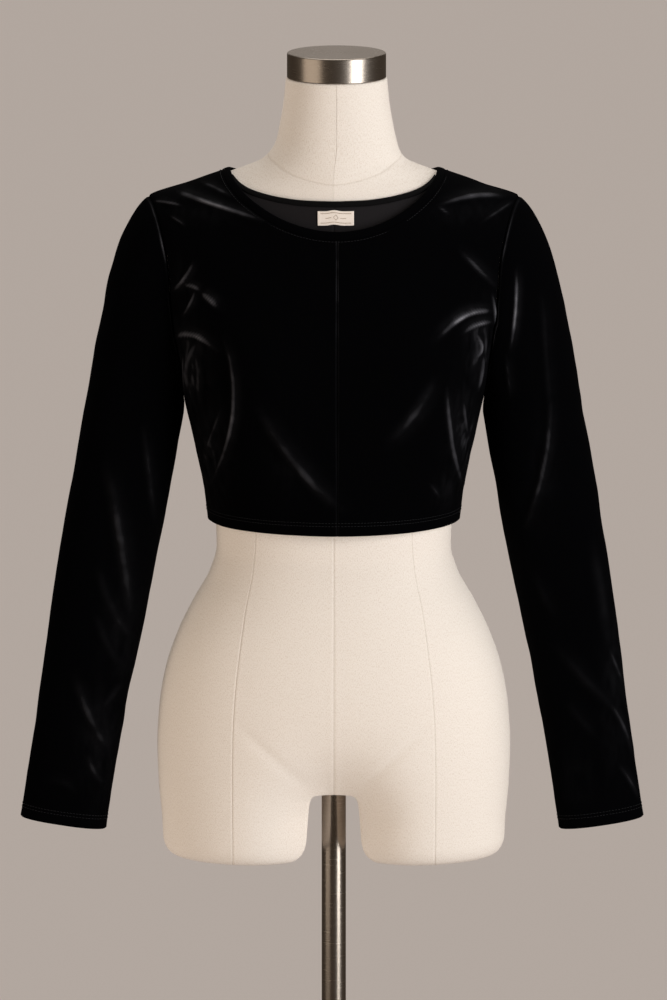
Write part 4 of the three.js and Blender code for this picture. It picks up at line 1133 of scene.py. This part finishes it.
def stitch_row(path, normals, closed, spacing, length, radius):
    """Points and faces of a row of sewn stitches: small rounded dashes, sunk a little in the cloth."""
    line = np.vstack([path, path[:1]]) if closed else path
    ways = np.vstack([normals, normals[:1]]) if closed else normals
    lengths = np.concatenate([[0], np.cumsum(np.linalg.norm(np.diff(line, axis=0), axis=1))])

    def at_length(values, at):
        return np.array([np.interp(at, lengths, values[:, c]) for c in range(3)])

    count = int(lengths[-1] / spacing)
    points, faces = [], []
    for k in range(count):
        at = (k + 0.5) * lengths[-1] / count
        where = at_length(line, at)
        normal = unit(at_length(ways, at))
        along = unit(at_length(line, at + STITCH_STEP) - at_length(line, at - STITCH_STEP))
        across = np.cross(normal, along)
        first = len(points)
        for share, wide in STITCH_PROFILE:
            for n in range(STITCH_SIDES):
                angle = 2 * math.pi * n / STITCH_SIDES
                off = across * math.cos(angle) + normal * math.sin(angle)
                place = where + along * share * length + off * radius * wide
                points.append(place + normal * radius * STITCH_PROUD)
        for i in range(len(STITCH_PROFILE) - 1):
            for n in range(STITCH_SIDES):
                a, b = first + i * STITCH_SIDES + n, first + i * STITCH_SIDES + (n + 1) % STITCH_SIDES
                faces.append([a, b, b + STITCH_SIDES, a + STITCH_SIDES])
        last = first + (len(STITCH_PROFILE) - 1) * STITCH_SIDES
        faces.append([first + n for n in range(STITCH_SIDES)][::-1])
        faces.append([last + n for n in range(STITCH_SIDES)])
    return points, faces


def joined_stitches(name, rows, material):
    points, faces = [], []
    for row_points, row_faces in rows:
        shift = len(points)
        points += row_points
        faces += [[n + shift for n in face] for face in row_faces]
    return new_object(name, np.array(points), faces, material)


def line_normals(grid_row, next_row):
    """Outward ways along a row of a grid, from the row and its neighbour."""
    along = np.gradient(grid_row, axis=0)
    normal = unit(np.cross(along, next_row - grid_row))
    centre = grid_row.mean(0)
    flip = np.sign(((grid_row - centre) * normal).sum(-1, keepdims=True))
    return normal * np.where(flip == 0, 1, flip)


def row_between(grid, share):
    """A line across a grid at a fractional row number."""
    low = int(math.floor(share))
    part = share - low
    return grid[low] * (1 - part) + grid[min(low + 1, len(grid) - 1)] * part


def hem_stitches(panels):
    rows = []
    for height in STITCH_HEIGHTS:
        for grid in panels:
            share = height / HEM_DEPTH * HEM_ROWS
            line = row_between(grid, share)
            normals = line_normals(line, row_between(grid, share + 1))
            rows.append(stitch_row(line + normals * STITCH_LIFT, normals, False, **STITCH))
    joined_stitches("hem_stitching", rows, BLACK_THREAD)


def cuff_stitches(name, grid):
    rows = []
    for height in STITCH_HEIGHTS:
        share = len(grid) - 1 - height / HEM_DEPTH * CUFF_ROWS
        line = row_between(grid, share)
        normals = line_normals(line, row_between(grid, share - 1))
        rows.append(stitch_row(line + normals * STITCH_LIFT, normals, True, **STITCH))
    joined_stitches(f"cuff_stitching_{name}", rows, BLACK_THREAD)


def neck_stitches():
    """Topstitching round the neck, just below the band's seam."""
    below_band = (BAND_WIDTH + NECK_STITCH_BELOW) / (BAND_WIDTH - SEAM_GAP / 2)
    grid, normals = neck_band_grid(np.array([1.0, below_band]))
    rows = [stitch_row(grid[1] + normals[1] * STITCH_LIFT, normals[1], True, **STITCH)]
    joined_stitches("neck_stitching", rows, BLACK_THREAD)


# Inner neck layer

inner_top_curve = curve_of(INNER_TOP, "x", "z")


def chest(x, z, lift):
    x, z = np.broadcast_arrays(np.asarray(x, float), np.asarray(z, float))
    turn = FORM.turn_at_x(x, z)
    end_lift = INNER_END_LIFT * (x / INNER_HALF_WIDTH) ** 4
    return FORM.point(turn, z) + FORM.normal(turn, z) * (lift + end_lift)[..., None]


def inner_top_z(x):
    return inner_top_curve(np.abs(x))


def make_inner_layer(side):
    share = np.linspace(0, 1, INNER_COLUMNS)[None, :]
    down = np.linspace(0, 1, INNER_ROWS)[:, None]
    x = side * np.maximum(INNER_HALF_WIDTH * share, SEAM_GAP / 2)
    depth = INNER_DEPTH["centre"] + (INNER_DEPTH["end"] - INNER_DEPTH["centre"]) * share
    z = inner_top_z(x) - depth * down
    x = np.broadcast_to(x, z.shape)
    outer = chest(x, z, INNER_GAP + INNER_WALL - INNER_SEAM_DEPTH * bell(x, INNER_SEAM_WIDTH))
    inner = chest(x, z, np.full(z.shape, INNER_GAP))
    outer[:, 0, 0] = inner[:, 0, 0] = side * SEAM_GAP / 2
    name = SIDE_NAME[side]
    piece = shell(f"inner_layer_{name}", outer, inner - outer, False, INNER_CLOTH)
    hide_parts(f"inner_{name}")
    return piece


def make_inner_binding():
    across = np.linspace(0, 1, BINDING_ROWS)[:, None]
    x = np.linspace(-INNER_HALF_WIDTH, INNER_HALF_WIDTH, BINDING_COLUMNS)[None, :]
    z = inner_top_z(x) + SEAM_GAP + BINDING_WIDTH * (1 - across)
    x = np.broadcast_to(x, z.shape)
    crown = crowned(across, **BINDING_CROWN)
    outer = chest(x, z, INNER_GAP + BINDING_WALL + crown + 0 * z)
    inner = chest(x, z, np.full(z.shape, INNER_GAP))
    piece = shell("inner_neck_binding", outer, inner - outer, False, BINDING_CLOTH)
    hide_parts("inner_binding")
    return piece


def label_kink(x):
    """The label is pulled up a little where it crosses the seam."""
    return bell(x, LABEL["kink_width"])


def label_lift(x):
    """How far the label's face lies off the chest: it is kinked at the seam and curls at its ends."""
    curl = LABEL["curl"] * np.abs(2 * (x - LABEL["x"]) / LABEL["width"]) ** 6
    flat = INNER_GAP + INNER_WALL + LABEL["gap"] + LABEL["wall"]
    return flat + LABEL["kink_lift"] * label_kink(x) + curl


def make_label():
    across = np.linspace(-0.5, 0.5, LABEL_COLUMNS)[None, :]
    down = np.linspace(0, 1, LABEL_ROWS)[:, None]
    x = LABEL["x"] + LABEL["width"] * across + 0 * down
    z = LABEL["top"] - LABEL["height"] * down + LABEL["kink"] * label_kink(x)
    outer = chest(x, z, label_lift(x))
    inner = chest(x, z, label_lift(x) - LABEL["wall"])
    piece = shell("woven_label", outer, inner - outer, False, TAPE)
    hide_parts("label")
    return piece


def label_ornament():
    """Plain border lines with a lozenge between two short dashes, embroidered."""
    middle_z = LABEL["top"] - LABEL["height"] / 2
    rows = []

    def line(x0, z0, x1, z1):
        t = np.linspace(0, 1, ORNAMENT_POINTS)
        x, z = LABEL["x"] + x0 + (x1 - x0) * t, middle_z + z0 + (z1 - z0) * t
        path = chest(x, z + LABEL["kink"] * label_kink(x), label_lift(x) + ORNAMENT["lift"])
        normals = FORM.normal(FORM.turn_at_x(x, z), z)
        rows.append(stitch_row(path, normals, False, ORNAMENT["spacing"], ORNAMENT["length"],
                               ORNAMENT["radius"]))

    half_width = LABEL["width"] / 2 - ORNAMENT["side_margin"]
    half_height = LABEL["height"] / 2 - ORNAMENT["end_margin"]
    line(-half_width, half_height, half_width, half_height)
    line(-half_width, -half_height, half_width, -half_height)
    wide, tall = ORNAMENT["lozenge_wide"], ORNAMENT["lozenge_tall"]
    for x, z in ((wide, tall), (-wide, tall), (-wide, -tall), (wide, -tall)):
        line(x, 0, 0, z)
    for side in (1, -1):
        line(side * ORNAMENT["dash_from"], 0, side * ORNAMENT["dash_to"], 0)
    return joined_stitches("label_ornament", rows, BROWN_THREAD)


# The dress form

# Seams of the linen cover, as a half width by height
SeamPlace = namedtuple("SeamPlace", "z x")
FRONT_PRINCESS = table(SeamPlace, [
    (656, 104), (750, 104.5), (798, 103.8), (844, 101),
    (886, 96.3), (926, 90.6), (967, 82.6), (1002, 80),
    (1100, 82), (1185, 82), (1290, 92), (1350, 100),
    (1372, 60), (1467, 34),
])
BACK_PRINCESS = table(SeamPlace, [
    (656, 92), (780, 88), (886, 80), (985, 66),
    (1185, 84), (1290, 100), (1350, 90), (1372, 58),
    (1467, 30),
])
PRINCESS_TOP = 1350.0
FORM_SEAM_DEPTH = 0.5
SEAM_RIDGE = 0.35
SEAM_BANK = 0.1
NECK_SEAM = {"front": 1365.0, "side": 1386.0, "back": 1396.0, "row": 1380.0, "reach": 42.0,
             "front_power": 6.5}
NECK_SEAM_ROWS = (-2.6, -1.4, -0.7, 0, 0.7, 1.4, 2.6)
NECK_SEAM_DEPTHS = (-0.3, 0, 0.3, 1.0, 0.3, 0, -0.3)
FINE_TURNS = (0.004, 0.009, 0.02)
COLUMNS_BETWEEN_SEAMS = 16
# Strength of the painted shade in the seam grooves
GROOVE_SHADE = 0.17
TOP_EDGE_ROUNDING = 0.8
LEG_LINE = Fold("front", (98, 808), (62, 776), (26, 737), 5, -2.6, 0, 0)
# Half the edge of the gap between the thighs, as a half width by height
THIGH_GAP = [(52, 640), (52, 655), (46, 656.3), (41, 658.5), (36.5, 661.5), (33, 665), (30.6, 669.5),
             (29, 675), (28, 682), (27.5, 690), (26.8, 700), (26, 710), (25.5, 716), (24.6, 721.5),
             (23.4, 725), (21.5, 727.3), (19, 728.6), (16.5, CROTCH_Z)]
THIGH_GAP_REACH = 180
front_princess_x = curve_of(FRONT_PRINCESS, "z", "x")
back_princess_x = curve_of(BACK_PRINCESS, "z", "x")


def form_turns(z):
    """Turns of the grid columns at a height, with fine columns at every seam."""
    front = float(FORM.turn_at_x(front_princess_x(z), z))
    back = math.pi - float(FORM.turn_at_x(back_princess_x(z), z))
    seams = [0.0, front, math.pi / 2, back, math.pi]
    seams += [2 * math.pi - back, math.pi * 1.5, 2 * math.pi - front, 2 * math.pi]
    princess = 1.0 if z < PRINCESS_TOP else 0.0
    shares = [1.0, princess, 1.0, princess] * 2 + [1.0]
    turns, depths = [], []
    a1, a2, a3 = FINE_TURNS
    plain = COLUMNS_BETWEEN_SEAMS
    for k in range(len(seams) - 1):
        a, b = seams[k], seams[k + 1]
        middle = np.linspace(a + 2 * a3, b - 2 * a3, plain)
        turns += [a, a + a1, a + a2, a + a3, *middle, b - a3, b - a2, b - a1]
        here, following = shares[k], shares[k + 1]
        depths += [here, SEAM_BANK * here, -SEAM_RIDGE * here, 0, *([0] * plain)]
        depths += [0, -SEAM_RIDGE * following, SEAM_BANK * following]
    return np.array(turns), np.array(depths)


def form_heights(seam_rows):
    """Rows of the form's grid: close together at its rounded bottom, its hips and its neck seam."""
    return np.concatenate([
        [656, 656.6, 657.4, 658.6, 660.2, 662.4, 665.5, 669],
        np.arange(673, 1000, 3.5),
        np.arange(1000, 1330, 8.0),
        np.arange(1330, 1376, 2.5),
        seam_rows,
        np.arange(1385, FORM_TOP - 2, 3.0),
        [FORM_TOP - 1.2, FORM_TOP],
    ])


def make_form():
    seam_rows = NECK_SEAM["row"] + np.array(NECK_SEAM_ROWS)
    on_seam_row = dict(zip(seam_rows.tolist(), NECK_SEAM_DEPTHS))
    lean_from, lean_to, lean = NECK_LEAN
    rings, painted_groove_shades = [], []
    for height in form_heights(seam_rows):
        turns, depths = form_turns(height)
        forward = (1 + np.cos(turns)) / 2
        frontness = forward ** NECK_SEAM["front_power"]
        seam_z = NECK_SEAM["side"] + (NECK_SEAM["front"] - NECK_SEAM["side"]) * frontness
        seam_z = seam_z + (NECK_SEAM["back"] - NECK_SEAM["side"]) * (1 - forward) ** 2
        near_seam = max(0.0, 1 - ((height - NECK_SEAM["row"]) / NECK_SEAM["reach"]) ** 2) ** 2
        z = height + (seam_z - NECK_SEAM["row"]) * near_seam
        point = FORM.point(turns, z)
        normal = FORM.normal(turns, z)
        point[:, 0] += lean * smooth((z - lean_from) / (lean_to - lean_from))
        on_neck = on_seam_row.get(float(height), 0.0)
        sunk = np.maximum(depths, on_neck) if on_neck > 0 else depths
        lift = leg_line_depth(point) * (np.cos(turns) > 0) - FORM_SEAM_DEPTH * sunk
        if height == FORM_TOP:
            lift = lift - TOP_EDGE_ROUNDING
        rings.append(point + normal * lift[:, None])
        # Painted shade along the seam grooves and the neck seam.
        painted_groove_shades.append(np.maximum(np.clip(depths, 0, 1), max(on_neck, 0)))
    rings, painted_groove_shades = np.array(rings), np.array(painted_groove_shades)
    rows, columns = rings.shape[:2]
    points = np.vstack([rings.reshape(-1, 3), rings[0].mean(0), rings[-1].mean(0)])
    uv = np.vstack([form_lengths(rings).reshape(-1, 2), np.zeros((2, 2))])
    marks = {"painted_groove_shade": np.concatenate([painted_groove_shades.reshape(-1) * GROOVE_SHADE, [0, 0]])}
    faces = tube_faces(rows, columns) + end_faces(rows, columns)
    piece = new_object("linen_form", points, faces, LINEN, uv, marks)
    cut_thigh_gap(piece)
    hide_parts("form")


def leg_line_depth(point):
    """The soft creases where the thighs begin."""
    return fold_marks([LEG_LINE], "front", np.abs(point[:, 0]), point[:, 2])[0]


def form_lengths(rings):
    """Lengths of the linen: round from the middle front or back, and up."""
    step = np.linalg.norm(np.roll(rings, -1, 1) - rings, axis=-1)
    u = np.concatenate([np.zeros((len(rings), 1)), np.cumsum(step, 1)[:, :-1]], 1)
    whole = step.sum(1, keepdims=True)
    u = np.where(u > whole / 2, u - whole, u)
    v = np.broadcast_to(rings[:, :, 2].mean(1, keepdims=True), u.shape)
    return np.stack([u, v], -1)


def cut_thigh_gap(piece):
    """Cuts the gap between the thigh stubs, with rounded edges."""
    outline = THIGH_GAP + [(-x, z) for x, z in reversed(THIGH_GAP)]
    points = [(x, y, z) for y in (-THIGH_GAP_REACH, THIGH_GAP_REACH) for x, z in outline]
    count = len(outline)
    faces = [[k, (k + 1) % count, (k + 1) % count + count, k + count] for k in range(count)]
    faces += [list(range(count))[::-1], list(range(count, 2 * count))]
    mesh = bpy.data.meshes.new("gap_cutter")
    mesh.from_pydata((np.array(points) * MM).tolist(), [], faces)
    cutter = bpy.data.objects.new("gap_cutter", mesh)
    bpy.context.scene.collection.objects.link(cutter)
    bpy.context.view_layer.update()
    recalculate(cutter)
    cut = piece.modifiers.new("gap", "BOOLEAN")
    cut.operation = "DIFFERENCE"
    cut.solver = "EXACT"
    cut.object = cutter
    apply_modifiers(piece)
    bpy.data.objects.remove(cutter)


def recalculate(obj):
    work = bmesh.new()
    work.from_mesh(obj.data)
    bmesh.ops.recalc_face_normals(work, faces=work.faces)
    work.to_mesh(obj.data)
    work.free()


def apply_modifiers(obj):
    bpy.context.view_layer.update()
    depsgraph = bpy.context.evaluated_depsgraph_get()
    mesh = bpy.data.meshes.new_from_object(obj.evaluated_get(depsgraph))
    old = obj.data
    obj.modifiers.clear()
    obj.data = mesh
    bpy.data.meshes.remove(old)


def lathe(name, profile, segments, node, shift=0.0):
    """A turned piece of steel from radius and height, from the axis round to the axis."""
    turns = np.arange(segments) * (2 * math.pi / segments)
    rings = profile[1:-1]
    points = [(shift + radius * math.sin(turn), -radius * math.cos(turn), z)
              for radius, z in rings for turn in turns]
    points += [(shift, 0, profile[0][1]), (shift, 0, profile[-1][1])]
    faces = tube_faces(len(rings), segments) + end_faces(len(rings), segments)
    piece = new_object(name, np.array(points, float), faces, STEEL)
    piece.data.set_sharp_from_angle(angle=SHARP_ANGLE)
    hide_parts(node)


def rounded_edge(radius, top, rounding, steps):
    """The rounded upper edge of a turned piece, from its wall to its flat top."""
    return [(radius - rounding * (1 - math.sin(a)), top - rounding * (1 - math.cos(a)))
            for a in np.linspace(math.pi / 2, 0, steps)]


def make_cap():
    low = FORM_TOP + FIT_GAP
    high = low + CAP_HEIGHT
    profile = [(0, low), (CAP_RADIUS - CAP_LOWER_EDGE, low), (CAP_RADIUS, low + CAP_LOWER_EDGE),
               *rounded_edge(CAP_RADIUS, high, CAP_BEVEL, EDGE_STEPS),
               (CAP_RADIUS - CAP_RIM, high - CAP_RIM_DIP), (0, high)]
    lathe("steel_neck_cap", profile, STEEL_SEGMENTS, "neck_cap", NECK_LEAN[2])


def make_pole():
    low, high = SOCKET_FLOOR + FIT_GAP, CROTCH_Z + POLE_DEPTH_IN_FORM
    profile = [(0, low), (POLE_RADIUS, low), (POLE_RADIUS, high), (0, high)]
    lathe("steel_pole", profile, POLE_SEGMENTS, "pole")


def make_base():
    top = BASE_PLATE + COLLAR_HEIGHT
    socket = POLE_RADIUS + FIT_GAP
    foot = [(COLLAR_RADIUS + COLLAR_ROUNDING * (1 - math.cos(a)),
             BASE_PLATE + COLLAR_ROUNDING * (1 - math.sin(a)))
            for a in np.linspace(math.pi / 2, 0, FOOT_STEPS)]
    profile = [(0, 0), (BASE_RADIUS - BASE_LOWER_EDGE, 0), (BASE_RADIUS, BASE_LOWER_EDGE),
               *rounded_edge(BASE_RADIUS, BASE_PLATE, BASE_EDGE, EDGE_STEPS), *foot,
               *rounded_edge(COLLAR_RADIUS, top, COLLAR_ROUNDING, COLLAR_STEPS),
               (socket, top), (socket, SOCKET_FLOOR), (0, SOCKET_FLOOR)]
    lathe("steel_base", profile, STEEL_SEGMENTS, "base")


# Camera, light and floor

def make_camera():
    data = bpy.data.cameras.new("camera")
    camera = bpy.data.objects.new("camera", data)
    bpy.context.scene.collection.objects.link(camera)
    data.sensor_fit = "AUTO"
    data.sensor_width = SENSOR
    view_height = PHOTO_HEIGHT * MM_PER_PIXEL * MM
    data.lens = SENSOR * VIEW_DISTANCE / view_height
    data.clip_end = CLIP_END
    x = (PHOTO_WIDTH / 2 - AXIS_PIXEL) * MM_PER_PIXEL * MM
    target = Vector((x, 0, VIEW_CENTRE_Z))
    back = Vector((0, -math.cos(VIEW_ELEVATION), math.sin(VIEW_ELEVATION)))
    camera.location = target + back * VIEW_DISTANCE
    camera.rotation_euler = (-back).to_track_quat("-Z", "Y").to_euler()
    bpy.context.scene.camera = camera


def softbox(row, lit):
    data = bpy.data.lights.new(row.name, "AREA")
    data.shape = "RECTANGLE"
    data.size, data.size_y = row.width, row.height
    data.energy = row.power
    data.color = linear(row.colour)[:3]
    light = bpy.data.objects.new(row.name, data)
    light.location = row.place
    light.rotation_euler = (Vector(row.aim) - Vector(row.place)).to_track_quat("-Z", "Y").to_euler()
    light.visible_camera = False
    light.visible_glossy = row.mirrored
    light.light_linking.receiver_collection = lit
    bpy.context.scene.collection.objects.link(light)


def make_studio():
    floor = make_floor()
    lit = bpy.data.collections.new("all but the floor")
    lit.objects.link(floor)
    lit.collection_objects[0].light_linking.link_state = "EXCLUDE"
    for row in SOFTBOXES:
        softbox(row, lit)
    ceiling = bpy.data.lights.new("ceiling", "SUN")
    ceiling.energy = CEILING["strength"]
    ceiling.angle = CEILING["spread"]
    ceiling.color = linear(CEILING["colour"])[:3]
    light = bpy.data.objects.new("ceiling", ceiling)
    light.rotation_euler = (CEILING["lean"], 0, 0)
    bpy.context.scene.collection.objects.link(light)
    world = bpy.data.worlds.new("studio")
    bpy.context.scene.world = world
    world.use_nodes = True
    background = world.node_tree.nodes["Background"]
    background.inputs["Color"].default_value = linear(ROOM["colour"])
    background.inputs["Strength"].default_value = ROOM["strength"]
    bpy.context.scene.view_settings.view_transform = "Standard"


def seamless_paper():
    """Pale matt paper with a faint grain, which reads as an even warm grey behind the object."""
    material, tree, surface = start_material("seamless paper", {"Roughness": 0.95})
    place = add_node(tree, "ShaderNodeTexCoord").outputs["Object"]
    grain = add_node(tree, "ShaderNodeTexNoise", {"Scale": 300.0}, {"Vector": place})
    colour = colour_ramp(tree, grain.outputs["Fac"], [(0.3, "#dfd6d1"), (0.7, "#e2d9d4")])
    tree.links.new(colour.outputs["Color"], surface.inputs["Base Color"])
    return material


def make_floor():
    """A wide pale floor, which is all that lies behind the object from any side. The steel doesn't
    mirror it, as if black cloths lay round the stand."""
    turns = FLOOR_TURNS
    points = [(0.0, 0.0, 0.0)]
    for radius in FLOOR_RINGS:
        for k in range(turns):
            angle = 2 * math.pi * k / turns
            points.append((radius * math.cos(angle), radius * math.sin(angle), 0.0))
    faces = [[0, 1 + k, 1 + (k + 1) % turns] for k in range(turns)]
    for ring in range(len(FLOOR_RINGS) - 1):
        first = 1 + ring * turns
        for k in range(turns):
            n = (k + 1) % turns
            faces.append([first + k, first + turns + k, first + turns + n, first + n])
    mesh = bpy.data.meshes.new("floor")
    mesh.from_pydata(points, [], faces)
    mesh.materials.append(seamless_paper())
    floor = bpy.data.objects.new("floor", mesh)
    floor.location.z = -FLOOR_GAP
    floor.visible_glossy = False
    bpy.context.scene.collection.objects.link(floor)
    return floor


# Building it all

make_camera()
make_studio()
make_form()
make_cap()
make_pole()
make_base()
panel_grids = []
for seed, (face, side) in enumerate([("front", 1), ("front", -1), ("back", 1), ("back", -1)]):
    piece, grid = make_panel(face, side, seed + 1)
    panel_grids.append(grid)
for seed, side in ((11, 1), (12, -1)):
    piece, grid = make_sleeve(side, seed)
    name = SIDE_NAME[side]
    cuff_stitches(name, grid)
band, band_grid = make_neck_band()
hem_stitches(panel_grids)
neck_stitches()
for side in (1, -1):
    piece = make_inner_layer(side)
binding = make_inner_binding()
label = make_label()
ornament = label_ornament()
